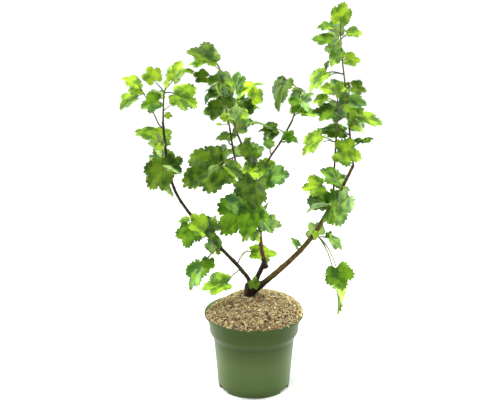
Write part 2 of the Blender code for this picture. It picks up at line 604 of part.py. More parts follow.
def keep_whole(mesh):
    """Leaves only the largest closed piece: loose scraps go, and sealed hollows are filled."""
    work = bmesh.new()
    work.from_mesh(mesh)
    left = set(work.verts)
    islands = []
    while left:
        found, edge = set(), {left.pop()}
        while edge:
            found |= edge
            edge = {e.other_vert(v) for v in edge for e in v.link_edges} - found
        left -= found
        islands.append(found)
    islands.sort(key=len)
    for island in islands[:-1]:
        bmesh.ops.delete(work, geom=list(island), context="VERTS")
    work.to_mesh(mesh)
    work.free()
    return mesh


def closed(mesh):
    work = bmesh.new()
    work.from_mesh(mesh)
    answer = all(edge.is_manifold for edge in work.edges)
    work.free()
    return answer


def union(name, pieces, collection):
    """One mesh from overlapping closed pieces, by a Boolean union on a collection of them. The exact
    solver leaves some masses open, which the manifold one closes."""
    others = bpy.data.collections.new(name + "_pieces")
    bpy.context.scene.collection.children.link(others)
    first = bpy.data.objects.new(name, mesh_of(name, *pieces[0]))
    collection.objects.link(first)
    for points, faces in pieces[1:]:
        others.objects.link(bpy.data.objects.new(name, mesh_of(name, points, faces)))
    join = first.modifiers.new("union", "BOOLEAN")
    join.operation = "UNION"
    join.operand_type = "COLLECTION"
    join.collection = others
    for solver in ("EXACT", "MANIFOLD"):
        join.solver = solver
        mesh = keep_whole(evaluated_mesh(first))
        if closed(mesh):
            break
    remove_objects(others.objects)
    remove_objects([first])
    bpy.data.collections.remove(others)
    return mesh


def inner_wall(clear=0.0):
    """The inside of the pot's wall from its floor up, or a line that much clear of it."""
    return [
        (FOOT_RADIUS - WALL - clear, FLOOR + clear),
        (SHOULDER_RADIUS - WALL - clear, SHOULDER),
        (COLLAR_FOOT_RADIUS - WALL - clear, COLLAR_FOOT)]


def turned(name, profile, steps, collection, colour, roughness):
    """A profile of (radius, height) turned about the z axis by a Screw."""
    points = [(radius, 0, height) for radius, height in profile]
    mesh = bpy.data.meshes.new(name)
    mesh.from_pydata(points, [(k, k + 1) for k in range(len(points) - 1)], [])
    obj = add_object(name, mesh, collection, colour, roughness)
    screw = obj.modifiers.new("turn", "SCREW")
    screw.steps = screw.render_steps = steps
    screw.use_merge_vertices = True
    screw.merge_threshold = 0.00001
    screw.use_smooth_shade = True
    return obj


def build_pot(collection, cutters):
    """The pot: an outward rim over a deep collar, a shoulder, a tapering wall and a flat underside."""
    low_rim = POT_HEIGHT - RIM_DEPTH
    profile = [(0, FLOOR)] + inner_wall() + [
        (COLLAR_RADIUS - WALL, POT_HEIGHT),
        (RIM_RADIUS - RIM_ROUNDING, POT_HEIGHT),
        (RIM_RADIUS, POT_HEIGHT - RIM_ROUNDING),
        (RIM_RADIUS, low_rim + RIM_ROUNDING),
        (RIM_RADIUS - RIM_ROUNDING, low_rim),
        (COLLAR_RADIUS, low_rim - RIM_ROUNDING / 2),
        (COLLAR_FOOT_RADIUS, COLLAR_FOOT),
        (SHOULDER_RADIUS, SHOULDER),
        (FOOT_RADIUS + FOOT_CHAMFER[0], FOOT_CHAMFER[1]),
        (FOOT_RADIUS, 0),
        (0, 0)]
    pot = turned("pot", profile, POT_STEPS, collection, PLASTIC_COLOUR, PLASTIC_ROUGHNESS)
    for number, turn in enumerate(NOTCH_TURNS):
        bpy.ops.mesh.primitive_cube_add(size=1)
        notch = bpy.context.object
        notch.name = f"notch_{number + 1}"
        for other in list(notch.users_collection):
            other.objects.unlink(notch)
        cutters.objects.link(notch)
        notch.scale = NOTCH_SIZE
        turn = math.radians(turn)
        notch.location = (FOOT_RADIUS * math.cos(turn), FOOT_RADIUS * math.sin(turn), 0)
        notch.rotation_euler = (0, 0, turn)
        notch.hide_render = True
        notch.display_type = "WIRE"
        cut = pot.modifiers.new(notch.name, "BOOLEAN")
        cut.operation = "DIFFERENCE"
        cut.object = notch
    return pot


def beside_collar(height):
    """How far out the mulch may lie against the inside of the collar."""
    heights, radii = (COLLAR_FOOT, POT_HEIGHT), (COLLAR_FOOT_RADIUS, COLLAR_RADIUS)
    return float(np.interp(height, heights, radii)) - WALL - GAP


def mulch_edge(turn):
    """How high the mulch would stand at its edge, how far out that is, and how high it is there."""
    off_low = (math.degrees(turn) - MULCH_LOW + 180) % 360 - 180
    heaped = (
        MULCH_EDGE + MULCH_LEAN * math.cos(turn - math.radians(MULCH_HIGH))
        - MULCH_DIP * math.exp(-(off_low / MULCH_LOW_WIDTH) ** 2))
    begins, ends = MULCH_SPILL
    spilt = min(1, max(0, (abs(off_low) - begins) / (ends - begins)))
    inside = beside_collar(heaped)
    return heaped, inside + spilt * (MULCH_RADIUS - inside), min(heaped, POT_HEIGHT + 2 * GAP)


def mulch_height(x, y):
    """The top of the mulch: a heap that leans to one side and rounds off at its edge."""
    heaped, radius, low = mulch_edge(math.atan2(y, x))
    share = min(1, math.hypot(x, y) / radius)
    mound = MULCH_EDGE + (heaped - MULCH_EDGE) * share ** 2 + MULCH_RISE * (1 - share ** MULCH_SWELL)
    return low + (mound - low) * (1 - share ** MULCH_ROUNDING)


def build_mulch(collection):
    """The mulch and the compost under it, which fill the pot. Its top is turned flat, then heaped."""
    flat, under = POT_HEIGHT + 2 * MM, POT_HEIGHT + MM
    profile = [(share * MULCH_RADIUS, flat) for share in MULCH_SHARES]
    profile += [(beside_collar(POT_HEIGHT), under)] + inner_wall(GAP)[::-1] + [(0, FLOOR + GAP)]
    turning = turned("mulch", profile, POT_STEPS, collection, MULCH_COLOUR, MULCH_ROUGHNESS)
    mesh = evaluated_mesh(turning)
    for vertex in mesh.vertices:
        x, y, z = vertex.co
        if z < POT_HEIGHT:
            continue
        heaped, radius, low = mulch_edge(math.atan2(y, x))
        if z > (flat + under) / 2:
            x, y = x * radius / MULCH_RADIUS, y * radius / MULCH_RADIUS
            vertex.co = (x, y, mulch_height(x, y))
        else:
            z = min(low, POT_HEIGHT + GAP)
            slim = beside_collar(z) / beside_collar(POT_HEIGHT)
            vertex.co = (x * slim, y * slim, z)
    bpy.data.objects.remove(turning, do_unlink=True)
    return add_object("mulch", weld(mesh), collection, MULCH_COLOUR, MULCH_ROUGHNESS)


def stump_foot():
    """The stump stands on the highest mulch under its foot."""
    x, y = STUMP_PLACE
    radius = STUMP_RADII[0] * MM
    around = [(x + radius * math.cos(a), y + radius * math.sin(a)) for a in np.linspace(0, 6.28, 24)]
    return np.array((x, y, max(mulch_height(*place) for place in around + [(x, y), (0, 0)]) + GAP))


def limb_mesh(name, path, radii, collection):
    """A limb as a curve with a round bevel that tapers, made a mesh with its end caps welded."""
    curve = bpy.data.curves.new(name, "CURVE")
    curve.dimensions = "3D"
    curve.bevel_depth = 1
    curve.bevel_resolution = 2
    curve.use_fill_caps = True
    spline = curve.splines.new("POLY")
    spline.points.add(len(path) - 1)
    for point, place, radius in zip(spline.points, path, radii):
        point.co = (*place, 1)
        point.radius = radius
    obj = bpy.data.objects.new(name, curve)
    collection.objects.link(obj)
    mesh = evaluated_mesh(obj)
    remove_objects([obj])
    return mesh


def as_piece(mesh):
    return (
        np.array([vertex.co for vertex in mesh.vertices]),
        [tuple(polygon.vertices) for polygon in mesh.polygons])


def build_limbs(collection):
    """The stump and every stem and branch. It gives each one's path, radii and overlap tree."""
    limbs = {}
    for name, spec in {"stump": dict(radii=STUMP_RADII), **LIMBS}.items():
        if name == "stump":
            path, colour = grown(stump_foot(), STUMP_INTERNODES, STUMP_STEP), STUMP_COLOUR
        else:
            path, colour = grown(start_clear(limbs[spec["of"]], spec), spec["internodes"]), BARK_COLOUR
        limb = dict(path=path, radii=taper(path, spec["radii"]))
        mesh = limb_mesh(name, path, limb["radii"], collection)
        forks = [
            as_piece(limb_mesh(name, fork_path(limb, fork), np.full(2, fork["radius"] * MM), collection))
            for fork in FORKS.get(name, {}).values()]
        if forks:
            mesh = union(name, [as_piece(mesh)] + forks, collection)
        add_object(name, mesh, collection, colour, BARK_ROUGHNESS)
        limbs[name] = dict(limb, tree=tree_of([as_piece(mesh)]))
    return limbs


def clear_leaf(stem, leaf, seeds, others, siblings):
    """The leaf at its first place along the line of sight where it is clear of all others, or else at
    the first where only its stalk meets a blade of its own mass. There may be neither."""
    for stalk_siblings in (siblings, []):
        for shift in SHIFTS:
            points, blade, stalk = leaf_piece(stem, leaf, np.random.default_rng(seeds), shift)
            blade_tree, stalk_tree = tree_of([(points, blade)]), tree_of([(points, stalk)])
            if touches(blade_tree, others + siblings) or touches(stalk_tree, others + stalk_siblings):
                continue
            return (points, blade + stalk), blade_tree, stalk_tree
    return None


def build_masses(limbs, collection):
    """The stem of each mass, then its leaves, largest first and those on the far side last. A leaf that
    comes clear nowhere is left out."""
    stems, pieces, trees = {}, {}, {}
    for name, spec in MASSES.items():
        path = grown(start_clear(limbs[spec["of"]], spec), spec["internodes"])
        stem = tube(path, taper(path, spec.get("radii", SPUR_RADII)), STEM_SIDES)
        stems[name], pieces[name], trees[name] = path, [stem], [tree_of([stem])]
    blades = {name: [] for name in MASSES}
    waiting = [
        (number >= len(spec["leaves"]), leaf, name, (SEED, order, number))
        for order, (name, spec) in enumerate(MASSES.items())
        for number, leaf in enumerate(leaves_of(spec, order))]
    waiting.sort(key=lambda item: (item[0], -item[1][2][0]))
    for _, leaf, name, seeds in waiting:
        others = [limb["tree"] for limb in limbs.values()]
        others += [tree for mass, some in trees.items() if mass != name for tree in some]
        placed = clear_leaf(stems[name], leaf, seeds, others, blades[name])
        if placed is None:
            print("left out:", name, seeds[2])
            continue
        piece, blade_tree, stalk_tree = placed
        pieces[name].append(piece)
        blades[name].append(blade_tree)
        trees[name] += [blade_tree, stalk_tree]
    for name, some in pieces.items():
        add_object(name, union(name, some, collection), collection, LEAF_COLOUR, LEAF_ROUGHNESS)


def main():
    remove_objects(bpy.data.objects)
    bush = bpy.data.collections.new("potted_jostaberry_bush")
    cutters = bpy.data.collections.new("cutters")
    for collection in (bush, cutters):
        bpy.context.scene.collection.children.link(collection)
    build_pot(bush, cutters)
    build_mulch(bush)
    build_masses(build_limbs(bush), bush)


main()
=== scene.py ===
import math

import bpy
import numpy as np
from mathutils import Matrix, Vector
from mathutils.bvhtree import BVHTree


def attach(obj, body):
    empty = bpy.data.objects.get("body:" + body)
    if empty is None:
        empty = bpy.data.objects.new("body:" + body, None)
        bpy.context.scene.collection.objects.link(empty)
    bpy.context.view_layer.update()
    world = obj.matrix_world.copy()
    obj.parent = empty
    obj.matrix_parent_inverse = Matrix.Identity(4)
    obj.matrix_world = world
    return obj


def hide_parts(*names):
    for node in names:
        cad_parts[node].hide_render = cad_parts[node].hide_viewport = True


# A potted jostaberry bush. Its stems and leaves grow by the sizes and headings given below. A heading
# is a clock angle, from straight up towards +X, and a lean forth, towards the viewer, in degrees.

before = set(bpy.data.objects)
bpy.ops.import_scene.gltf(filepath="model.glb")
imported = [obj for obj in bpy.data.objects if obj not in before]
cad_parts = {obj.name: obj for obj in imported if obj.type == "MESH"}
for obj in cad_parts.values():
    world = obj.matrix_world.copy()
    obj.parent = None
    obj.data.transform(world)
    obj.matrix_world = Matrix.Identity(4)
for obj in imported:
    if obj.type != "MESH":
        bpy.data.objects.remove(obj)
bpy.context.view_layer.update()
mm = 0.001
seed = 7
clear = 0.0003  # room left between pieces that meet


# growth

def heading(clock, forth):
    # unit vector of a heading
    clock, forth = math.radians(clock), math.radians(forth)
    return np.array((math.sin(clock) * math.cos(forth), -math.sin(forth), math.cos(clock) * math.cos(forth)))


def unit(vector):
    # a vector, or each row of an array of them, divided by its length
    return vector / np.linalg.norm(vector, axis=-1, keepdims=True)


def grown(start, internodes, step=0.026):
    # smooth path through the ends of the internodes: a cubic Hermite curve with the knots' own slopes
    knots = [np.asarray(start, float)]
    for length, clock, forth in internodes:
        knots.append(knots[-1] + length * mm * heading(clock, forth))
    knots = np.array(knots)
    slopes = np.gradient(knots, axis=0)
    path = [knots[:1]]
    for a, b, slopeA, slopeB in zip(knots, knots[1:], slopes, slopes[1:]):
        count = max(1, round(np.linalg.norm(b - a) / step))
        t = (np.arange(1, count + 1) / count)[:, None]
        path.append(
            (1 + 2 * t) * (1 - t) ** 2 * a + t * (1 - t) ** 2 * slopeA
            + t * t * (3 - 2 * t) * b + t * t * (t - 1) * slopeB)
    return np.concatenate(path)


def sharesOf(path):
    # how far along the path each point lies, from 0 to 1
    lengths = np.linalg.norm(np.diff(path, axis=0), axis=1)
    return np.r_[0, np.cumsum(lengths)] / lengths.sum()


def placeOn(path, share):
    shares = sharesOf(path)
    point = np.array([np.interp(share, shares, path[:, k]) for k in range(3)])
    part = min(np.searchsorted(shares, share, side="right"), len(path) - 1)
    return point, unit(path[part] - path[part - 1])


def taper(path, radii):
    return np.interp(sharesOf(path), np.linspace(0, 1, len(radii)), radii) * mm


def forkPath(limb, fork):
    start, _ = placeOn(limb["path"], fork["share"])
    start = start + np.array((*fork["aside"], 0)) * mm
    return np.array((start, start + fork["length"] * mm * heading(*fork["heading"])))


def startClear(limb, spec):
    # where a stem starts so that its end stays clear of the limb that it leaves
    path, radii = limb["path"], limb["radii"]
    if "fork" in spec:
        path = forkPath(limb, forks[spec["of"]][spec["fork"]])
    direction = heading(*spec["internodes"][0][1:])
    own = spec.get("radii", spurRadii)[0] * mm
    if "share" in spec:
        point, along = placeOn(path, spec["share"])
        radius = np.interp(spec["share"], sharesOf(path), radii)
        cosine = abs(direction @ along)
        return point + direction * (radius + clear + own * cosine) / math.sqrt(1 - cosine ** 2)
    along = unit(path[-1] - path[-2])
    sine = math.sqrt(max(0, 1 - (direction @ along) ** 2))
    aside = np.array((*spec.get("aside", (0, 0)), 0)) * mm
    aside -= along * (along @ aside)
    return path[-1] + aside + along * (own * sine + clear)


# surfaces; a part is its points, its faces as rows of four (a triangle's last is -1) and a kind for each

def ringFaces(rows, columns, start=None, end=None):
    # quads between the rows of points of a closed grid, and a fan from each end row to its own point
    r, c = np.meshgrid(np.arange(rows - 1), np.arange(columns), indexing="ij")
    after = (c + 1) % columns
    faces = [np.stack((r * columns + c, r * columns + after, (r + 1) * columns + after, (r + 1) * columns + c), -1)]
    ring = np.arange(columns)
    after = (ring + 1) % columns
    last = (rows - 1) * columns
    if start is not None:
        faces.append(np.stack((np.full(columns, start), after, ring, np.full(columns, -1)), -1))
    if end is not None:
        faces.append(np.stack((np.full(columns, end), last + ring, last + after, np.full(columns, -1)), -1))
    return np.concatenate([some.reshape(-1, 4) for some in faces])


def tube(path, radii, sides, turns=None):
    # rings of the given radii about a path, whose start and end are closed by fans; radii may have a
    # column for each side
    along = unit(np.gradient(path, axis=0))
    side = unit(np.cross(along, (0.21, 0.93, 0.3)))
    other = np.cross(along, side)
    turns = 2 * math.pi * np.arange(sides) / sides
    out = np.cos(turns)[None, :, None] * side[:, None] + np.sin(turns)[None, :, None] * other[:, None]
    points = path[:, None] + np.broadcast_to(np.reshape(radii, (len(path), -1)), (len(path), sides))[..., None] * out
    count = len(path) * sides
    return np.r_[points.reshape(-1, 3), path[:1], path[-1:]], ringFaces(len(path), sides, count, count + 1)


def joined(parts):
    # parts side by side as one
    points, faces, kinds, count = [], [], [], 0
    for some, rows, kind in parts:
        points.append(some)
        faces.append(np.where(rows < 0, -1, rows + count))
        kinds.append(np.broadcast_to(kind, len(rows)))
        count += len(some)
    return np.concatenate(points), np.concatenate(faces), np.concatenate(kinds)


def addPiece(name, part, materials, replaced, sharpFrom=60):
    # one object from a part, which rides on the root and stands for a node of the frame
    points, faces, kinds = part
    mesh = bpy.data.meshes.new(name)
    used = faces >= 0
    starts = np.r_[0, np.cumsum(used.sum(1))[:-1]]
    mesh.vertices.add(len(points))
    mesh.vertices.foreach_set("co", points.astype(np.float32).ravel())
    mesh.loops.add(int(used.sum()))
    mesh.loops.foreach_set("vertex_index", faces[used].astype(np.int32))
    mesh.polygons.add(len(faces))
    mesh.polygons.foreach_set("loop_start", starts.astype(np.int32))
    for material in materials:
        mesh.materials.append(material)
    mesh.polygons.foreach_set("material_index", np.broadcast_to(kinds, len(faces)).astype(np.int32))
    mesh.update(calc_edges=True)
    mesh.polygons.foreach_set("use_smooth", np.full(len(faces), sharpFrom > 0))
    if sharpFrom > 0:
        mesh.set_sharp_from_angle(angle=math.radians(sharpFrom))
    piece = bpy.data.objects.new(name, mesh)
    bpy.context.scene.collection.objects.link(piece)
    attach(piece, "root")
    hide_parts(replaced)
    return piece


# materials

def plainMaterial(name, colour, roughness, specular=0.5):
    material = bpy.data.materials.new(name)
    material.use_nodes = True
    shader = material.node_tree.nodes["Principled BSDF"]
    shader.inputs["Base Color"].default_value = (*colour, 1)
    shader.inputs["Roughness"].default_value = roughness
    shader.inputs["Specular IOR Level"].default_value = specular
    return material, material.node_tree, shader


def noiseOf(tree, scale, detail=4):
    where = tree.nodes.new("ShaderNodeTexCoord")
    noise = tree.nodes.new("ShaderNodeTexNoise")
    noise.inputs["Scale"].default_value = scale
    noise.inputs["Detail"].default_value = detail
    tree.links.new(where.outputs["Object"], noise.inputs["Vector"])
    return noise.outputs["Fac"]


def addRelief(tree, shader, scale, strength, depth):
    # fine bumps from noise
    relief = tree.nodes.new("ShaderNodeBump")
    relief.inputs["Strength"].default_value = strength
    relief.inputs["Distance"].default_value = depth
    tree.links.new(noiseOf(tree, scale), relief.inputs["Height"])
    tree.links.new(relief.outputs["Normal"], shader.inputs["Normal"])


def mottled(name, dark, light, roughness, scale, bumpScale, bump=0.5, span=(0.35, 0.65), specular=0.3, tip=None):
    # two colours mixed by noise over the given span of it, with a finer noise as relief; tip is a third
    # colour and the heights between which it comes in
    material, tree, shader = plainMaterial(name, light, roughness, specular)
    ramp = tree.nodes.new("ShaderNodeValToRGB")
    for element, position, colour in zip(ramp.color_ramp.elements, span, (dark, light)):
        element.position, element.color = position, (*colour, 1)
    tree.links.new(noiseOf(tree, scale), ramp.inputs["Fac"])
    colour = ramp.outputs["Color"]
    if tip:
        where = tree.nodes.new("ShaderNodeTexCoord")
        parts = tree.nodes.new("ShaderNodeSeparateXYZ")
        rise = tree.nodes.new("ShaderNodeMapRange")
        rise.inputs["From Min"].default_value, rise.inputs["From Max"].default_value = tip[1:]
        rise.inputs["To Max"].default_value = 0.8
        mix = tree.nodes.new("ShaderNodeMix")
        mix.data_type = "RGBA"
        mix.inputs["B"].default_value = (*tip[0], 1)
        tree.links.new(where.outputs["Object"], parts.inputs["Vector"])
        tree.links.new(parts.outputs["Z"], rise.inputs["Value"])
        tree.links.new(rise.outputs["Result"], mix.inputs["Factor"])
        tree.links.new(colour, mix.inputs["A"])
        colour = mix.outputs["Result"]
    tree.links.new(colour, shader.inputs["Base Color"])
    addRelief(tree, shader, bumpScale, bump, mm)
    return material


# pot

potSizes = dict(
    height=0.150, rim=0.095, rimDepth=0.0045, collar=0.0880, collarFoot=0.0850, collarFootHeight=0.113,
    shoulder=0.0776, shoulderHeight=0.101, foot=0.0682, chamfer=(0.0006, 0.003), wall=0.0018, floor=0.0025,
    around=192, notch=(0.012, 0.031, 0.014), notchTurns=(90, 210, 330),
    roughness=0.45, specular=0.14, sheen=(0.10, 0.45),
    # colours by height: darker towards the bottom; painted shade deepening up the wall from about 0.06 m to its darkest
    # on the slope under the collar's foot (0.1015 to 0.1115 m); a thin painted highlight line at the collar's foot
    # (0.1125 m); lighter on top of the lip
    colours=(
        (0.000, (0.064, 0.110, 0.026)), (0.020, (0.084, 0.138, 0.034)), (0.062, (0.088, 0.138, 0.038)),
        (0.098, (0.052, 0.090, 0.016)), (0.1015, (0.036, 0.064, 0.008)), (0.1115, (0.036, 0.064, 0.008)),
        (0.1125, (0.076, 0.116, 0.024)), (0.1140, (0.050, 0.086, 0.014)), (0.149, (0.046, 0.080, 0.012)),
        (0.1497, (0.090, 0.150, 0.040))))


def potProfile():
    # (radius, height) from the inside floor up over the rim and down to the underside, with the moulded
    # edges rounded by half a millimetre
    p = potSizes
    w, top, low = p["wall"], p["height"], p["height"] - p["rimDepth"]
    soft = 0.0005
    upper = [
        (p["foot"] - w, p["floor"]), (p["shoulder"] - w, p["shoulderHeight"]),
        (p["collarFoot"] - w, p["collarFootHeight"]), (p["collar"] - w, top - soft), (p["collar"] - w + soft, top),
        (p["rim"] - 2 * soft, top), (p["rim"] - soft / 2, top - soft / 2), (p["rim"], top - 2 * soft),
        (p["rim"], low + 2 * soft), (p["rim"] - soft / 2, low + soft / 2), (p["rim"] - 2 * soft, low),
        (p["collar"] + 2 * soft, low - soft / 2), (p["collar"] + soft / 2, low - 1.5 * soft),
        (p["collar"] - 0.0001, low - 4 * soft)]
    collar = [
        (np.interp(h, (p["collarFootHeight"], low), (p["collarFoot"], p["collar"])), h)
        for h in np.linspace(low - 0.005, p["collarFootHeight"] + 0.0012, 8)]
    fold = [
        (p["collarFoot"] - soft / 3, p["collarFootHeight"] + soft / 3),
        (p["collarFoot"] - 2 * soft, p["collarFootHeight"] - 2.5 * soft),
        (p["shoulder"] + 2 * soft, p["shoulderHeight"] + 3 * soft),
        (p["shoulder"] + soft / 4, p["shoulderHeight"] + soft / 3), (p["shoulder"] - soft / 4, p["shoulderHeight"] - 2 * soft)]
    wall = [
        (np.interp(h, (p["chamfer"][1], p["shoulderHeight"]), (p["foot"] + p["chamfer"][0], p["shoulder"])), h)
        for h in np.linspace(p["shoulderHeight"] - 0.004, p["chamfer"][1], 24)]
    return np.array(upper + collar + fold + wall + [(p["foot"] + soft / 2, soft), (p["foot"] - soft / 2, 0)])


def byHeight(tree, top, colours):
    # a colour that runs between those given at heights from 0 to the top
    where = tree.nodes.new("ShaderNodeTexCoord")
    parts = tree.nodes.new("ShaderNodeSeparateXYZ")
    share = tree.nodes.new("ShaderNodeMath")
    share.operation = "DIVIDE"
    share.inputs[1].default_value = top
    ramp = tree.nodes.new("ShaderNodeValToRGB")
    elements = ramp.color_ramp.elements
    for _ in colours[2:]:
        elements.new(0.5)
    for element, (height, colour) in zip(elements, colours):
        element.position, element.color = height / top, (*colour, 1)
    tree.links.new(where.outputs["Object"], parts.inputs["Vector"])
    tree.links.new(parts.outputs["Z"], share.inputs[0])
    tree.links.new(share.outputs["Value"], ramp.inputs["Fac"])
    return ramp.outputs["Color"]


def makePot():
    # the profile turned about z, with its floor and underside closed, and the drainage notches cut out
    p = potSizes
    profile = potProfile()
    turns = 2 * math.pi * np.arange(p["around"]) / p["around"]
    radius, height = profile[:, :1], profile[:, 1:]
    points = np.stack((radius * np.cos(turns), radius * np.sin(turns), height + 0 * turns), -1).reshape(-1, 3)
    count = len(points)
    points = np.r_[points, [(0, 0, p["floor"])], [(0, 0, 0)]]
    faces = ringFaces(len(profile), p["around"], count, count + 1)
    faces = np.where(faces[:, 3:] < 0, faces[:, (0, 2, 1, 3)], faces[:, ::-1])
    plastic, tree, shader = plainMaterial("moulded green plastic", p["colours"][2][1], p["roughness"], p["specular"])
    shader.inputs["Sheen Weight"].default_value, shader.inputs["Sheen Roughness"].default_value = p["sheen"]
    # the colour by height paints shade on the slope under the collar's foot and a highlight line along the foot
    tree.links.new(byHeight(tree, p["height"], p["colours"]), shader.inputs["Base Color"])
    addRelief(tree, shader, 900, 0.12, 0.0004)
    pot = addPiece("pot_wall", (points, faces, 0), [plastic], "pot", 38)
    for turn in np.radians(p["notchTurns"]):
        bpy.ops.mesh.primitive_cube_add(size=1)
        cutter = bpy.context.object
        cutter.scale = p["notch"]
        cutter.location = (p["foot"] * math.cos(turn), p["foot"] * math.sin(turn), 0)
        cutter.rotation_euler = (0, 0, turn)
        cut = pot.modifiers.new("notch", "BOOLEAN")
        cut.operation, cut.object, cut.solver = "DIFFERENCE", cutter, "EXACT"
        bpy.context.view_layer.update()
        made = bpy.data.meshes.new_from_object(pot.evaluated_get(bpy.context.evaluated_depsgraph_get()))
        pot.modifiers.clear()
        pot.data = made
        bpy.data.objects.remove(cutter, do_unlink=True)
    print("pot made")


# mulch

mulchSizes = dict(
    edge=0.1560, rise=0.0170, swell=3.4, lean=0.0030, high=45, dip=0.0050, low=150, lowWidth=27, rounding=22,
    radius=0.0942, spill=(18, 42), slivers=4300, flakes=1900, clods=130, strays=110,
    bed=((0.035, 0.023, 0.012), (0.34, 0.25, 0.13)),
    tints=dict(
        straw=(0.72, 0.57, 0.24), tan=(0.50, 0.35, 0.14), pale=(0.98, 0.86, 0.46), grey=(0.36, 0.31, 0.20),
        rust=(0.26, 0.120, 0.050), dark=(0.035, 0.024, 0.016)),
    # the next line deals the chip tints as painted light: paler, straw tints towards the rim and the brightest turn,
    # and more grey, rust and dark ones as painted shade in the middle and away from it
    litTurn=70, shadedShares=(0.17, 0.22, 0.12, 0.17, 0.15, 0.17), litShares=(0.38, 0.06, 0.54, 0.01, 0.01, 0.00))


def besideCollar(height):
    # how far out the mulch may lie against the inside of the collar
    p = potSizes
    return np.interp(height, (p["collarFootHeight"], p["height"]), (p["collarFoot"], p["collar"])) - p["wall"] - clear


def mulchEdge(turn):
    # how high the mulch would stand at its edge, how far out that is, and how high it is there
    m = mulchSizes
    offLow = (np.degrees(turn) - m["low"] + 180) % 360 - 180
    heaped = (
        m["edge"] + m["lean"] * np.cos(turn - math.radians(m["high"]))
        - m["dip"] * np.exp(-(offLow / m["lowWidth"]) ** 2))
    spilt = np.clip((np.abs(offLow) - m["spill"][0]) / (m["spill"][1] - m["spill"][0]), 0, 1)
    inside = besideCollar(heaped)
    return heaped, inside + spilt * (m["radius"] - inside), np.minimum(heaped, potSizes["height"] + 2 * clear)


def mulchHeight(x, y):
    # a heap that leans to one side and rounds off at its edge
    m = mulchSizes
    heaped, radius, low = mulchEdge(np.arctan2(y, x))
    share = np.minimum(1, np.hypot(x, y) / radius)
    mound = m["edge"] + (heaped - m["edge"]) * share ** 2 + m["rise"] * (1 - share ** m["swell"])
    return low + (mound - low) * (1 - share ** m["rounding"])


def chipsOf(rng, count, lengths, widths, thick, share):
    # thin plates with six ragged corners, each lying along the heap's slope with a little tilt
    turn = rng.uniform(0, 2 * math.pi, count)
    _, radius, _ = mulchEdge(turn)
    x, y = share * radius * np.cos(turn), share * radius * np.sin(turn)
    step = 0.0012
    slope = np.stack((
        (mulchHeight(x - step, y) - mulchHeight(x + step, y)) / (2 * step),
        (mulchHeight(x, y - step) - mulchHeight(x, y + step)) / (2 * step), np.ones(count)), -1)
    slope[:, :2] = np.clip(slope[:, :2], -1.1, 1.1)
    up = unit(slope + rng.normal(0, 0.22, (count, 3)))
    fall = rng.uniform(0, 2 * math.pi, count)
    ahead = np.stack((np.cos(fall), np.sin(fall), np.zeros(count)), -1)
    ahead = unit(ahead - up * (ahead * up).sum(1, keepdims=True))
    across = np.cross(up, ahead)
    length, width = rng.uniform(*lengths, count) * rng.uniform(0.5, 1, count), rng.uniform(*widths, count)
    corners = np.array([(-1, -0.25), (-0.7, 0.9), (0.5, 1), (1, 0.15), (0.75, -0.9), (-0.5, -1)]) / 2
    ragged = corners[None] * rng.uniform(0.72, 1.15, (count, 6, 1))
    lie = mulchHeight(x, y) - 0.0008 + rng.uniform(0, 0.0014, count)
    centre = np.stack((x, y, lie), -1)[:, None]
    flat = ragged[..., :1] * length[:, None, None] * ahead[:, None] + ragged[..., 1:] * width[:, None, None] * across[:, None]
    deep = np.maximum(thick, 0.2 * width)[:, None, None] * up[:, None] / 2
    return np.concatenate((centre + flat + deep, centre + flat - deep), axis=1)


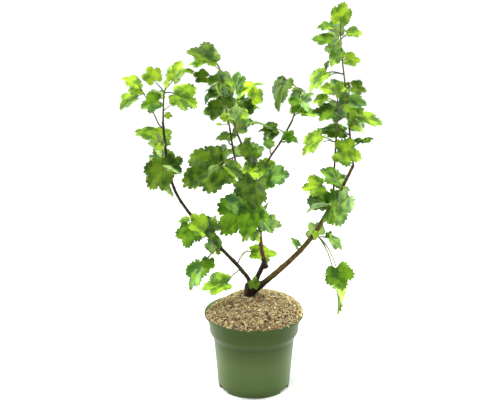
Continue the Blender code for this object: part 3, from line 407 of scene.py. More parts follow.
def makeMulch():
    # a lumpy bed that fills the pot and spills over its rim, and chips strewn over it at all angles
    m, p, rng = mulchSizes, potSizes, np.random.default_rng(seed + 1)
    rings, around = 44, 144
    turns = 2 * math.pi * np.arange(around)[None] / around
    _, edge, _ = mulchEdge(turns)
    share = (np.linspace(0, 1, rings + 1)[1:, None]) ** 0.8
    x, y = share * edge * np.cos(turns), share * edge * np.sin(turns)
    lumps = 0.0010 * np.sin(900 * x + 3 * np.sin(700 * y)) * np.sin(800 * y + 2 * np.sin(600 * x)) * (1 - share ** 8)
    top = np.stack((x, y, mulchHeight(x, y) - 0.0009 * (1 - share ** 8) + lumps), -1)
    lower = np.array([
        (besideCollar(p["height"]), p["height"] - 0.002), (p["collarFoot"] - p["wall"] - clear, p["collarFootHeight"]),
        (p["shoulder"] - p["wall"] - clear, p["shoulderHeight"]), (p["foot"] - p["wall"] - clear, p["floor"] + clear)])
    radius, height = lower[:, :1], lower[:, 1:]
    low = top[-1:, :, 2] - 0.002
    side = np.stack((radius * np.cos(turns), radius * np.sin(turns), np.minimum(height + 0 * turns, low)), -1)
    points = np.concatenate((top, side)).reshape(-1, 3)
    count = len(points)
    points = np.r_[points, [(0, 0, mulchHeight(0, 0) - 0.0009)], [(0, 0, p["floor"] + clear)]]
    faces = ringFaces(rings + 4, around, count, count + 1)
    faces = np.where(faces[:, 3:] < 0, faces[:, (0, 2, 1, 3)], faces[:, ::-1])
    bed = mottled("chip bed", *m["bed"], 0.95, 380, 1500, 0.9)
    addPiece("mulch_bed", (points, faces, 0), [bed], "mulch")
    spilt = 1 + rng.uniform(-0.02, 0.008, m["strays"])
    chips = np.concatenate((
        chipsOf(rng, m["slivers"], (0.005, 0.0145), (0.0007, 0.0017), 0.0005, np.sqrt(rng.uniform(0, 0.985, m["slivers"]))),
        chipsOf(rng, m["flakes"], (0.003, 0.009), (0.0016, 0.0034), 0.0006, np.sqrt(rng.uniform(0, 0.97, m["flakes"]))),
        chipsOf(rng, m["clods"], (0.003, 0.008), (0.0025, 0.0045), 0.0012, 0.05 + 0.6 * rng.uniform(0, 1, m["clods"])),
        chipsOf(rng, m["strays"], (0.004, 0.010), (0.0008, 0.0020), 0.0005, spilt)))
    inside = besideCollar(chips[..., 2])
    low = chips[..., 2] < p["height"] - 0.0004
    reach = np.hypot(chips[..., 0], chips[..., 1])
    over = reach.min(1, keepdims=True) > p["rim"] - 0.006
    squeeze = np.where(low & ~over & (reach > inside), inside / reach, 1)
    chips[..., :2] *= squeeze[..., None]
    isClod = np.zeros(len(chips), bool)
    isClod[m["slivers"] + m["flakes"]:-m["strays"]] = True
    x, y = stumpPlace
    kept = np.hypot(chips[:, :, 0] - x, chips[:, :, 1] - y).min(1) > 0.0095
    chips, isClod, count = chips[kept], isClod[kept], kept.sum()
    k = np.arange(6)
    after = (k + 1) % 6
    fan = np.array(((0, 1, 2, 3), (0, 3, 4, 5)))
    plate = np.concatenate((fan, fan[:, ::-1] + 6, np.stack((k, k + 6, after + 6, after), -1)))
    faces = (plate[None] + 12 * np.arange(count)[:, None, None]).reshape(-1, 4)[:, ::-1]
    x, y = chips.mean(axis=1)[:, :2].T
    outer = np.hypot(x, y) / m["radius"]
    # painted light and shade: how lit each chip is, from its reach out and its turn, picks between the lit and the
    # shaded tint shares
    lit = np.clip(0.6 * outer ** 4 + 0.7 * outer * np.cos(np.arctan2(y, x) - math.radians(m["litTurn"])), 0, 1)[:, None]
    chances = np.cumsum((1 - lit) * m["shadedShares"] + lit * m["litShares"], axis=1)
    which = (rng.uniform(0, 1, (count, 1)) > chances[:, :-1]).sum(axis=1)
    which[isClod] = rng.choice((3, 4, 5, 5), isClod.sum())
    materials = [
        mottled(f"chip {name}", tuple(0.72 * c for c in colour), colour, 0.85, 650, 2500, 0.3)
        for name, colour in m["tints"].items()]
    addPiece("mulch_chips", (chips.reshape(-1, 3), faces, np.repeat(which, len(plate))), materials, "mulch", 0)
    print("mulch made:", count, "chips")


# stump and stems

stumpPlace = (-0.0099, 0.025)
stumpInternodes = ((5, 0, 0), (5, 14, 0), (5, 16, 0), (7, 8, 2))
stumpRadii = (10.6, 9.6, 10.4, 11.4, 10.8)
spurRadii = (1.5, 1.1)
# a fork starts some millimetres aside of the point at its share of the limb's length
forks = {
    "stump": dict(
        left=dict(share=0.62, aside=(4, 0), heading=(-18, 8), length=20, radius=4.4),
        centre=dict(share=0.72, aside=(5, 1), heading=(24, -10), length=25, radius=5.0),
        right=dict(share=0.28, aside=(6.4, 0), heading=(47, 8), length=31, radius=6.2)),
    "centre_foot": dict(
        pruned=dict(share=0.74, aside=(0, 0), heading=(152, 4), length=11, radius=4.9)),
}
# each limb grows out of a fork, out of another's tip, some millimetres aside, or out of its side at a share
# of its length
limbSizes = {
    "left_stem": dict(
        of="stump", fork="left", radii=(4.2, 3.6, 3.2, 2.8, 2.5, 2.3),
        internodes=((6, -24, 10), (34, -34, 15), (60, -38, 17), (68, -37, 14),
                    (58, -32, 13), (40, -20, 12), (42, -10, 8), (74, -4, 6))),
    "centre_foot": dict(
        of="stump", fork="centre", radii=(5.0, 4.9, 5.0, 4.6),
        internodes=((13, 27, -14), (14, 25, -13), (8, -8, -10))),
    "centre_stem": dict(
        of="centre_foot", aside=(0, 0), radii=(4.4, 4.0, 3.7, 3.6, 6.0),
        internodes=((16, -15, -9), (29, -5, -10), (45, -3, -11), (7, -3, -11))),
    "branch_1": dict(
        of="centre_stem", aside=(-3.4, -1.6), radii=(2.3, 2.1, 1.9, 1.7),
        internodes=((28, -31, 10), (22, -33, 10), (17, -23, 10), (34, -11, 9),
                    (28, -11, 8), (47, -8, 7))),
    "branch_2": dict(
        of="centre_stem", aside=(-0.6, 3.4), radii=(2.4, 2.3, 2.2, 2.0),
        internodes=((31, -16, -11), (39, -12, -12), (33, -9, -14), (24, -29, -17),
                    (18, -24, -17))),
    "branch_3": dict(
        of="centre_stem", aside=(3.2, -1.6), radii=(2.2, 2.1, 2.0, 1.8),
        internodes=((39, 6, -13), (46, 9, -15), (44, 36, -19), (52, 30, -16))),
    "right_stem": dict(
        of="stump", fork="right", radii=(5.9, 5.2, 4.7, 4.1, 3.4, 2.7),
        internodes=((35, 46, 8), (33, 44, 9), (35, 41, 9), (46, 34, 10),
                    (58, 26, 12), (53, 26, 12), (43, 22, 11))),
    "outer_shoot": dict(
        of="right_stem", aside=(0, 0), radii=(1.9, 1.8, 1.6, 1.4),
        internodes=((43, -8, -1), (40, -6, -3), (34, -6, -5), (31, -7, -7), (37, -8, -6))),
    "inner_shoot": dict(
        of="right_stem", share=0.723, radii=(1.9, 1.8, 1.7, 1.5),
        internodes=((57, 0, 11), (40, 1, 11), (62, 1, 11))),
}
barkColours = dict(  # dark, light and the tip's green with the heights where it comes in
    stump=((0.008, 0.006, 0.004), (0.048, 0.032, 0.020)),
    left_stem=((0.024, 0.016, 0.008), (0.072, 0.050, 0.025), ((0.17, 0.15, 0.06), 0.52, 0.64)),
    centre_foot=((0.016, 0.010, 0.006), (0.060, 0.036, 0.018)),
    centre_stem=((0.050, 0.026, 0.010), (0.165, 0.095, 0.038)),
    branch_1=((0.026, 0.016, 0.008), (0.085, 0.055, 0.022)),
    branch_2=((0.038, 0.028, 0.013), (0.115, 0.085, 0.036), ((0.13, 0.13, 0.04), 0.36, 0.46)),
    branch_3=((0.050, 0.034, 0.018), (0.155, 0.110, 0.055)),
    right_stem=((0.052, 0.034, 0.009), (0.165, 0.112, 0.030), ((0.012, 0.008, 0.005), 0.222, 0.200)),
    outer_shoot=((0.036, 0.020, 0.010), (0.105, 0.062, 0.028), ((0.20, 0.19, 0.07), 0.50, 0.66)),
    inner_shoot=((0.036, 0.021, 0.010), (0.105, 0.064, 0.026), ((0.18, 0.20, 0.06), 0.46, 0.60)))
barkForm = dict(ring=0.0013, sides=24, ridge=0.04, knobEvery=0.036, knob=0.22, knobWidth=0.0026, rooted=0.0022)


def barkSurface(path, radii, rng, rough=1.0, ringLength=None, sides=None, rooted=None):
    # rings about a smoothed path, whose radius is the taper times 1 + ridges along + a knob at each node;
    # the first ring stands a little inside whatever the limb grows out of
    form = barkForm
    sides = sides or form["sides"]
    rooted = form["rooted"] if rooted is None else rooted
    path = np.r_[path[:1] - rooted * unit(path[1] - path[0]), path[1:]]
    length = np.linalg.norm(np.diff(path, axis=0), axis=1).sum()
    rows = max(6, int(length / (ringLength or form["ring"])))
    share = np.linspace(0, 1, rows)
    shares = sharesOf(path)
    centre = np.stack([np.interp(share, shares, path[:, k]) for k in range(3)], -1)
    radius = np.interp(share, shares, radii)
    reach = min(rows // 3, int(0.010 / (length / rows)))
    if reach > 1:  # a moving average rounds the path's corners
        soft = np.hanning(2 * reach + 1)[1:-1]
        padded = np.r_[np.repeat(centre[:1], reach - 1, 0), centre, np.repeat(centre[-1:], reach - 1, 0)]
        blurred = np.stack([np.convolve(padded[:, k], soft / soft.sum(), "valid") for k in range(3)], -1)
        keep = np.minimum(1, np.minimum(np.arange(rows), np.arange(rows)[::-1]) / reach)[:, None]
        centre = centre + keep * (blurred - centre)
    turns = 2 * math.pi * np.arange(sides)[None] / sides
    at = share[:, None] * length
    relief = np.zeros((rows, sides))
    for wave in range(5):
        k, slow, phase = rng.integers(2, 7), rng.uniform(40, 260), rng.uniform(0, 6.28, 2)
        relief += form["ridge"] * np.sin(k * turns + phase[0] + 0.8 * np.sin(slow * at + phase[1])) / 5
    spots = np.cumsum(rng.uniform(0.6, 1.4, 60)) * form["knobEvery"]
    for spot, bias in zip(spots[spots < length], rng.uniform(0, 6.28, 60)):
        bump = np.exp(-((at - spot) / form["knobWidth"]) ** 2)
        relief += form["knob"] * bump * (0.3 + 0.7 * np.maximum(0, np.cos(turns - bias)))
    ends = np.minimum(1, (length - at) / 0.002)
    return tube(centre, radius[:, None] * (1 + rough * relief * ends), sides)


def makeStems():
    # the stump with its forks and every stem and branch, each with bark of its own colour
    x, y = stumpPlace
    ring = np.linspace(0, 6.28, 24)
    aroundX, aroundY = x + stumpRadii[0] * mm * np.cos(ring), y + stumpRadii[0] * mm * np.sin(ring)
    foot = np.max(mulchHeight(np.r_[aroundX, x, 0], np.r_[aroundY, y, 0])) + clear
    path = grown((x, y, foot), stumpInternodes, 0.008)
    limbs = {"stump": dict(path=path, radii=taper(path, stumpRadii))}
    for name, spec in limbSizes.items():
        path = grown(startClear(limbs[spec["of"]], spec), spec["internodes"])
        limbs[name] = dict(path=path, radii=taper(path, spec["radii"]))
    for number, (name, limb) in enumerate(limbs.items()):
        rng = np.random.default_rng((seed, 100 + number))
        if name == "stump":
            parts = [(*barkSurface(limb["path"], 0.98 * limb["radii"], rng, 2.4, 0.0007, 72, 0.004), 0)]
        else:
            parts = [(*barkSurface(limb["path"], 0.99 * limb["radii"], rng), 0)]
        for fork in forks.get(name, {}).values():
            forkRadii = np.array((1.12, 1)) * fork["radius"] * mm
            parts.append((*barkSurface(forkPath(limb, fork), forkRadii, rng, 1.6, 0.0008, 40, 0), 0))
        colours = barkColours[name]
        bark = mottled("bark " + name, *colours[:2], 0.75, 240, 1400, 0.6, specular=0.15, tip=(colours[2][0], *colours[2][1:]) if len(colours) > 2 else None)
        addPiece(name + "_bark", joined(parts), [bark], name)
    print("stems made:", len(limbs))
    return limbs


# leaves

# leaf rows: share of the stem, stalk (length, clock, forth), blade (length, clock, roll and, where it isn't
# the usual one, lean forth); with no share, the leaves sit evenly on the outer half of the stem
# tints: y young, l light, m middle, d dark, k painted shade, b painted bluish sheen, p seen from below
leafMasses = {
    "leaves_left_crown": dict(
        of="left_stem", aside=(0.6, 0), radii=(2.0, 1.2), internodes=((25, 2, 5), (29, 4, 4)),
        behind=1, tints="yyymlyy", leaves=(
            (1, (27, -40, -15), (28, -25, 0)), (1, (31, 35, 10), (33, 20, -40)),
            (1, (11, 20, 10), (14, 5, -50)), (0.52, (19, -35, 45), (32, -100, 35)),
            (0.96, (26, 105, -35), (44, 115, -55)), (0.34, (24, 45, 20), (11, 40, 0, -35)),
            (0.17, (8, 55, 30), (11, 100, 0, 15)))),
    "leaves_left_side": dict(
        of="left_stem", share=0.959, radii=(1.3, 0.9),
        internodes=((9, -36, 12), (15, -20, 8), (15, -25, -8), (15, -28, -17), (16, -27, -15), (9, -43, -13)),
        tints="yll", leaves=(
            (0.93, (19, -30, 25), (27, -65, 70)), (0.93, (6, -60, -40), (24, -90, 60)),
            (0.85, (24, -120, -30), (33, -120, 65)))),
    "leaves_left_upper": dict(
        of="left_stem", share=0.877, internodes=((8, -70, 10),),
        behind=2, tints="pllyl", leaves=(
            ((20, -30, -25), (39, -85, 140)), ((25, -25, 15), (33, -75, 65)),
            ((21, -20, -60), (26, 55, -35)), ((8, 60, 70), (12, -130, 0, 15)),
            ((17, 95, -20), (9, -5, 45)))),
    "leaves_left_middle": dict(
        of="left_stem", share=0.785, internodes=((7, -100, 35),),
        behind=2, tints="ydkpp", leaves=(
            ((22, 5, 20), (22, 0, 0, -50)), ((12, 85, 80), (50, -135, 35)),
            ((9, 95, 25), (32, 60, -30)), ((13, 110, 40), (30, 105, -115)),
            ((10, 145, 25), (47, -175, 100)))),
    "leaves_left_lower": dict(
        of="left_stem", share=0.386, internodes=((9, -60, 55),),
        behind=2, tints="lmkyddl", leaves=(
            ((8, 30, 30), (33, -35, 15)), ((22, -60, 30), (40, -170, 0, 15)),
            ((9, 45, 45), (34, 80, -40)), ((29, -55, -25), (21, -100, 75)),
            ((29, 60, 5), (16, 25, -55)), ((22, 120, -15), (26, 110, -80)),
            ((14, 85, 55), (27, -70, 65)))),
    "leaves_left_low": dict(
        of="left_stem", share=0.253, internodes=((8, -125, 20),),
        behind=1, tints="mmmm", leaves=(
            ((45, -140, 10), (48, -143, 68)), ((23, -135, 35), (25, -170, 0, 25)),
            ((15, 25, 35), (9, 55, -45)), ((10, 105, 0), (9, -95, 40)))),
    "leaves_low_left": dict(
        of="left_stem", share=0.079, internodes=((7, -130, 10),),
        tints="l", leaves=(((27, -130, 20), (50, -100, 60)),)),
    "leaves_low_back": dict(
        of="left_stem", share=0.110, internodes=((8, 25, -20),),
        tints="ll", leaves=(((60, 96, -61), (46, 94, -72, 0)), ((58, 91, -67), (18, 80, 30)))),
    "leaves_centre_left": dict(
        of="branch_2", share=0.70, radii=(1.7, 1.2),
        internodes=((41, -50, 68), (16, -70, 60), (8, -100, 25), (17, -110, 10)),
        behind=1, tints="ddpd", leaves=(
            (1, (11, -125, 0), (77, -120, 30)), (1, (9, -95, -10), (35, 5, -50)),
            (1, (21, -120, 35), (25, -130, 130)), (1, (13, 150, 40), (36, 115, -80)))),
    "leaves_centre_front": dict(
        of="centre_stem", share=0.930, internodes=((12, -60, 60),),
        behind=3, tints="kmpb", leaves=(
            ((72, 0, 20), (57, -170, 40)), ((24, -40, 25), (72, -135, 25)),
            ((5, -25, 50), (44, -165, 105)), ((34, -70, 5), (33, -45, 45)))),
    "leaves_centre_stem": dict(
        of="centre_stem", share=0.639, internodes=((8, 60, 40),),
        behind=2, tints="mmddly", leaves=(
            ((18, -10, 20), (34, 140, -55)), ((21, -50, 35), (20, 25, -60)),
            ((24, 5, 0), (25, 10, -75)), ((35, -110, 25), (21, -145, 45)),
            ((28, -110, 45), (23, 155, -50)), ((29, -105, 30), (20, 180, -60)))),
    "leaves_fork_left": dict(
        of="branch_2", share=0.47, internodes=((9, -60, 50),),
        behind=2, tints="ylyyyd", leaves=(
            ((26, 55, 35), (27, 130, -60)), ((34, 95, 10), (15, 20, -50)),
            ((26, 60, 55), (38, -110, 60)), ((21, 60, 20), (13, -95, 70)),
            ((33, -125, 25), (22, -40, 75)), ((25, 25, 10), (16, -105, 65)))),
    "leaves_fork_right": dict(
        of="branch_3", share=0.37, internodes=((7, 70, 20),),
        behind=3, tints="bmlkd", leaves=(
            ((14, 120, 35), (34, 85, -40)), ((19, -150, 40), (24, 120, -25)),
            ((14, -40, -35), (22, 55, -55)), ((20, -65, 20), (21, 70, -65)),
            ((19, -45, -25), (12, -25, 30)))),
    "leaves_centre_back": dict(
        of="branch_2", share=0.69, internodes=((7, 60, 30),),
        behind=2, tints="mddk", leaves=(
            ((9, 175, 65), (25, 20, -25)), ((13, -20, 40), (23, -55, 30)),
            ((28, -25, 10), (16, 50, -65)), ((8, 160, 45), (20, 165, -50)))),
    "leaves_branch_1": dict(
        of="branch_1", share=0.78, internodes=((5, -40, 15),),
        tints="km", leaves=(((16, -10, 30), (23, -85, 80)), ((12, 5, -55), (17, 70, -65)))),
    "leaves_top_1": dict(
        of="branch_1", aside=(0, 0), radii=(1.6, 1.2),
        internodes=((36, -10, 6), (27, -10, 6), (30, -5, 4), (11, 0, 5)),
        behind=7, tints="ydpldmlppdkppdkkykpl", leaves=(
            (0.05, (17, -85, 20), (8, -80, 75)), (1, (35, -30, 25), (50, -65, 55)),
            (1, (28, -35, -10), (14, 10, -45)), (1, (31, -40, -5), (42, -90, 80)),
            (0.84, (34, -70, 15), (23, -70, 35)), (0.84, (58, -70, 0), (18, -80, 75)),
            (0.82, (23, -50, 45), (21, -100, 55)), (0.86, (32, -75, -10), (10, 0, -50)),
            (0.69, (14, -45, 45), (26, -90, 130)), (0.68, (18, -65, 65), (16, -15, 60)),
            (0.66, (25, -75, 55), (21, -105, 60)), (0.62, (16, -70, 20), (13, -160, 140)),
            (0.56, (26, -90, 5), (14, -140, 120)), (0.38, (19, -75, 50), (32, -105, 40)),
            (0.40, (9, -30, 70), (21, -40, 40)), (0.39, (12, 25, 55), (19, 45, -40)),
            (0.22, (12, -35, 80), (14, -105, 0, 5)), (0.78, (9, 100, 70), (19, 140, -75)),
            (0.80, (9, 135, -25), (10, 105, -140)), (0.88, (11, 145, -50), (15, 105, -50)))),
    "leaves_top_2": dict(
        of="branch_2", aside=(0, 0), radii=(1.8, 1.2),
        internodes=((20, -18, -12), (19, -12, -12), (19, 12, -18), (16, 32, -23)),
        behind=5, tints="myypyllkkmmp", leaves=(
            (0.99, (22, -10, 15), (34, 0, -45)), (0.76, (44, 60, 25), (28, 60, 0, -25)),
            (0.96, (17, 15, -30), (46, 65, -75)), (0.90, (18, 55, 25), (13, -90, 40)),
            (0.10, (57, 10, 30), (32, -155, 0, 50)), (0.58, (39, 45, 60), (23, -85, 30)),
            (0.60, (24, 50, 50), (16, -10, 55)), (0.81, (27, 110, -20), (18, 25, -20)),
            (0.73, (26, 100, -15), (16, 125, -25)), (0.81, (34, 105, -30), (19, 100, -75)),
            (0.17, (30, 70, 5), (13, -5, 40)), (0.08, (35, 55, 15), (42, 95, -110)))),
    "leaves_branch_3_low": dict(
        of="branch_3", share=0.57, internodes=((5, -15, 0),),
        tints="bb", leaves=(((14, -5, 15), (18, -40, 35)), ((11, -5, 10), (13, 45, -40)))),
    "leaves_branch_3_right": dict(
        of="branch_3", share=0.75, internodes=((5, 100, 10),),
        tints="mpm", leaves=(
            ((10, 45, 35), (22, 35, -40)), ((4, -25, 70), (13, 80, -115)),
            ((14, 60, 0), (17, 120, -75)))),
    "leaves_branch_3_left": dict(
        of="branch_3", share=0.85, internodes=((5, -60, 10),),
        tints="kk", leaves=(((16, -65, 20), (28, -115, 40)), ((18, -65, 15), (34, -95, 80)))),
    "leaves_top_3": dict(
        of="branch_3", aside=(0, 0), radii=(1.7, 1.2),
        internodes=((34, 18, -12), (20, 16, -15), (7, 12, -17)),
        behind=2, tints="kpmdpblby", leaves=(
            (0.92, (38, -60, 10), (55, -165, 60)), (0.92, (37, -60, 5), (16, -35, 125)),
            (0.66, (14, -160, 85), (18, -65, 35)), (0.53, (12, 40, 85), (19, -140, 55)),
            (0.73, (10, 140, -25), (26, 55, -135)), (0.68, (14, 105, 10), (22, 140, -70)),
            (0.11, (21, 55, 25), (39, 100, -75)), (0.64, (11, 125, 45), (23, 130, -70)),
            (0.14, (24, 60, 35), (17, 95, -60)))),
    "leaves_outer_top": dict(
        of="outer_shoot", aside=(0, 0), radii=(1.3, 0.9),
        internodes=((32, -6, -5), (16, -4, -4), (28, 0, -4)),
        behind=3, tints="lldldmppbmldlm", leaves=(
            (0.97, (3, -35, 20), (34, 10, -20)), (0.67, (23, -55, -20), (25, -85, 75)),
            (0.70, (22, -60, -25), (16, 5, -75)), (0.54, (21, 45, 15), (24, 85, -65)),
            (0.56, (19, 50, 5), (11, -60, 70)), (0.42, (25, -60, 20), (30, -80, 65)),
            (0.44, (23, -70, -5), (14, -30, 135)), (0.40, (21, -35, 40), (13, -125, 145)),
            (0.17, (11, -55, 60), (17, -25, 30)), (0.19, (12, -45, 75), (15, 15, -45)),
            (0.12, (20, -50, 45), (22, -150, 45)), (0.07, (25, -100, -10), (14, -160, 65)),
            (0.06, (10, 55, 35), (26, 90, -45)), (0.08, (7, 75, -35), (15, -15, 75)))),
    "leaves_outer_left": dict(
        of="outer_shoot", share=0.90, internodes=((6, -80, 15),),
        tints="ldm", leaves=(
            ((30, -90, 10), (41, -125, 74)), ((27, -90, -5), (20, -110, 75)),
            ((28, -95, -10), (12, 20, -65)))),
    "leaves_outer_high": dict(
        of="outer_shoot", share=0.74, internodes=((8, 40, 35),),
        behind=1, tints="ddmd", leaves=(
            ((7, -55, 35), (14, 35, -30)), ((8, 80, 30), (25, 100, -45)),
            ((9, -90, 45), (20, 165, -65)), ((18, -160, 35), (14, -95, 0, 15)))),
    "leaves_outer_middle": dict(
        of="outer_shoot", share=0.60, internodes=((8, 55, 30),),
        behind=2, tints="blpy", leaves=(
            ((4, 0, 25), (29, 95, -50)), ((9, -100, 65), (19, 155, -10)),
            ((5, -5, -50), (11, 30, -135)), ((16, 140, 20), (15, 135, -35)))),
    "leaves_outer_low": dict(
        of="outer_shoot", share=0.40, internodes=((7, 60, 25),),
        behind=1, tints="lklm", leaves=(
            ((17, 60, -20), (42, 95, -75)), ((21, 60, 0), (20, 85, -70)),
            ((9, -30, 45), (32, 120, -60)), ((10, -75, 40), (8, -10, 45)))),
    "leaves_outer_back": dict(
        of="outer_shoot", share=0.30, internodes=((6, -60, -20),),
        tints="mdm", leaves=(
            ((12, -95, -60), (41, -90, 65)), ((18, -65, -50), (31, -90, 75)),
            ((9, -115, -40), (11, -145, 45)))),
    "leaves_outer_foot": dict(
        of="outer_shoot", share=0.16, internodes=((5, 50, -20),),
        tints="mmm", leaves=(
            ((18, 55, -15), (16, -95, 80)), ((19, 55, -5), (18, 70, -80)),
            ((20, 55, 5), (10, 115, -55)))),
    "leaves_inner_top": dict(
        of="inner_shoot", aside=(0, 0), radii=(1.4, 1.0), internodes=((23, 0, 12), (14, -5, 12)),
        behind=2, tints="yyyylkm", leaves=(
            (0.98, (24, -35, 15), (18, -85, 40)), (1, (17, 10, 15), (14, -10, 0)),
            (0.98, (21, 15, 20), (10, 85, -30)), (0.71, (24, -70, -20), (24, -105, 70)),
            (0.76, (27, -80, -20), (13, 55, -75)), (0.19, (10, -95, -50), (39, -85, 70)),
            (0.14, (10, -85, -10), (26, -110, 65)))),
    "leaves_inner_left": dict(
        of="inner_shoot", share=0.70, internodes=((5, -85, 10),),
        tints="yl", leaves=(((23, -80, -25), (47, -125, 80)), ((22, -85, -30), (10, -5, 50)))),
    "leaves_inner_front": dict(
        of="inner_shoot", share=0.56, internodes=((6, 60, 40),),
        tints="l", leaves=(((5, -45, 60), (42, 100, -40)),)),
    "leaves_inner_low": dict(
        of="inner_shoot", share=0.12, internodes=((6, 20, 45),),
        behind=2, tints="mlm", leaves=(
            ((15, 10, 40), (39, -60, 65)), ((14, 15, 55), (23, 70, 0, -25)),
            ((15, 0, 30), (19, 15, -50)))),
    "leaves_right_left": dict(
        of="right_stem", share=0.707, internodes=((9, -40, 30),),
        behind=3, tints="ykpb", leaves=(
            ((36, -25, 5), (35, -95, 50)), ((22, -165, -66), (34, -70, 50)),
            ((16, -135, 65), (40, -95, 110)), ((19, -20, 75), (16, -165, 45)))),
    "leaves_right_front": dict(
        of="right_stem", share=0.707, internodes=((10, 70, 60),),
        behind=1, tints="mp", leaves=(((10, -100, 35), (67, 95, 0, -35)), ((36, 20, -5), (14, 115, -120)))),
    "leaves_right_low": dict(
        of="right_stem", share=0.467, internodes=((7, 110, 20),),
        behind=1, tints="mymmy", leaves=(
            ((70, 150, 5), (46, 160, 0, 30)), ((101, 160, 0), (60, 170, -85)),
            ((18, 85, 20), (13, 30, -25)), ((23, 90, 25), (31, 130, -70)),
            ((18, -45, 25), (11, 130, -30)))),
    "leaves_right_foot": dict(
        of="right_stem", share=0.320, internodes=((4, -30, 20),),
        tints="mm", leaves=(((6, -5, 30), (20, -35, 70)), ((8, 5, 40), (10, 0, 55)))),
    "leaf_stump": dict(
        of="stump", share=0.85, internodes=((4, 0, 88),),
        tints="k", leaves=(((9, 50, 25), (20, 2, -20)),)),
}

leafForm = dict(
    lobes=((0, 0.68, 0.32), (50, 0.58, 0.28), (94, 0.34, 0.22)), notch=0.06,
    rimAngles={
        38: (0, 14, 25, 36, 50, 64, 77, 94, 114, 134), 15: (0, 25, 50, 78, 100, 134), 0: (0, 26, 54, 110)},
    middle=0.36, thickness=0.02, thinnest=0.0008, widths=(0.82, 0.94), folds=(0.05, 0.3), curls=(0.02, 0.2),
    lean=12, stalkRadii=(0.85, 0.6), stoutness=((0.01, 0.06), (0.75, 1.2)),
    stalkSteps=((0.020, 2), (0.045, 3), (math.inf, 4)), stalkCorners=((0.87, 0.5), (-0.87, 0.5), (0, -1)),
    shifts=(0, 3, -3, 6, -6, 9, -9, 13, -13, 17, -17, 22, -22, 28, -28), shiftLean=0.6, sight=(0, 0.953, -0.302),
    behindShare=(0.25, 1), behindStalk=((22, 42), (120, 240), (-84, -58)),
    behindBlade=((22, 36), (-150, 150), (140, 220), (-60, -10)))
leafLooks = dict(
    size=0.97, rings=((0.035, 9), (0.018, 7), (0, 4)), pitch=(0.0012, 0.155), tooth=(0.0001, 0.042),
    web=(
        (0, 19, 27, 35, 50, 69, 76, 83, 94, 112, 130),
        (0.86, 0.92, 0.73, 0.87, 0.84, 0.74, 0.58, 0.67, 0.58, 0.48, 0.28)),
    webs=(0.92, 1.03), point=(0.03, 9), lobeLengths=(0.92, 1.05), profile=(-1, 0.2, 0.72, 0.9, 0.72, 0.2),
    pleat=0.05, droops=(-0.10, 0.20), margin=0.028, vein=0.0085, edge=0.00018, body=0.0025)
# k is a darker copy of the greens that stands for painted shade, and b a bluer copy that stands for a painted sheen
# reflected from above
leafColours = dict(
    y=(0.330, 0.560, 0.034), l=(0.250, 0.460, 0.028), m=(0.130, 0.300, 0.013), d=(0.105, 0.210, 0.014),
    k=(0.075, 0.155, 0.013), b=(0.185, 0.380, 0.085), p=(0.125, 0.265, 0.030))
leafOther = dict(
    # the darker and lighter copies of each tint that a leaf's cloud mixes, first on the next line, are partly mottle
    # and partly painted shade and painted light
    mottleAndShading=((0.40, 0.50, 0.66), (1.62, 1.44, 1.04)), specular=0.14, under=(0.250, 0.420, 0.130), stalk=(0.170, 0.220, 0.050), twig=(0.130, 0.100, 0.045), veinPale=(0.45, 0.55, 0.22),
    veinShare=0.22)


def outlineReach(turns):
    # how far a leaf reaches at each turn off its midrib, as a share of its length: the far side of the
    # furthest disc there, off cos(a) + sqrt(radius^2 - (off sin(a))^2), and nowhere less than the notch
    reach = np.full(len(turns), leafForm["notch"])
    for angle, off, radius in leafForm["lobes"]:
        away = np.abs(np.abs(turns) - math.radians(angle))
        inside = radius ** 2 - (off * np.sin(away)) ** 2
        far = off * np.cos(away) + np.sqrt(np.maximum(inside, 0))
        reach = np.maximum(reach, np.where((inside > 0) & (away < math.pi / 2), far, 0))
    return reach


def lift(across, ahead, plan):
    # the halves fold up from the midrib, and the tip curls down
    return plan["fold"] * np.abs(across) - plan["curl"] * plan["length"] * (ahead / plan["length"]) ** 2


def bladeAxes(clock, forth, roll):
    # rows: across the blade, along its midrib, off its upper face
    midrib = heading(clock, forth)
    viewer = np.array((0.0, -1.0, 0.0))
    facing = unit(viewer - midrib * (viewer @ midrib))
    roll = math.radians(roll)
    normal = math.cos(roll) * facing + math.sin(roll) * np.cross(midrib, facing)
    return np.array((np.cross(midrib, normal), midrib, normal))


def stalkRings(plan, steps, radii, corners):
    # the stalk's rings, from the stem up and over to the blade along a cubic Bezier curve; each ring's
    # across is the next one's, carried back from the blade
    seat, base, axes = plan["seat"], plan["base"], plan["axes"]
    reach = np.linalg.norm(base - seat)
    out = unit(unit(base - seat) + np.array((0, 0, 0.5)))
    a, b, c, d = seat, seat + 0.35 * reach * out, base - 0.3 * reach * axes[1], base
    t = (np.arange(steps + 1) / steps)[:, None]
    path = (1 - t) ** 3 * a + 3 * t * (1 - t) ** 2 * b + 3 * t * t * (1 - t) * c + t ** 3 * d
    across, rings = axes[0], []
    for centre, along, radius in list(zip(path, np.gradient(path, axis=0), taper(path, radii) * plan["stout"]))[::-1]:
        along = unit(along) if rings else axes[1]
        across = unit(across - along * (across @ along))
        rings.append(centre + radius * np.array(corners) @ (across, np.cross(across, along)))
    return path, np.array(rings[::-1]).reshape(-1, 3)


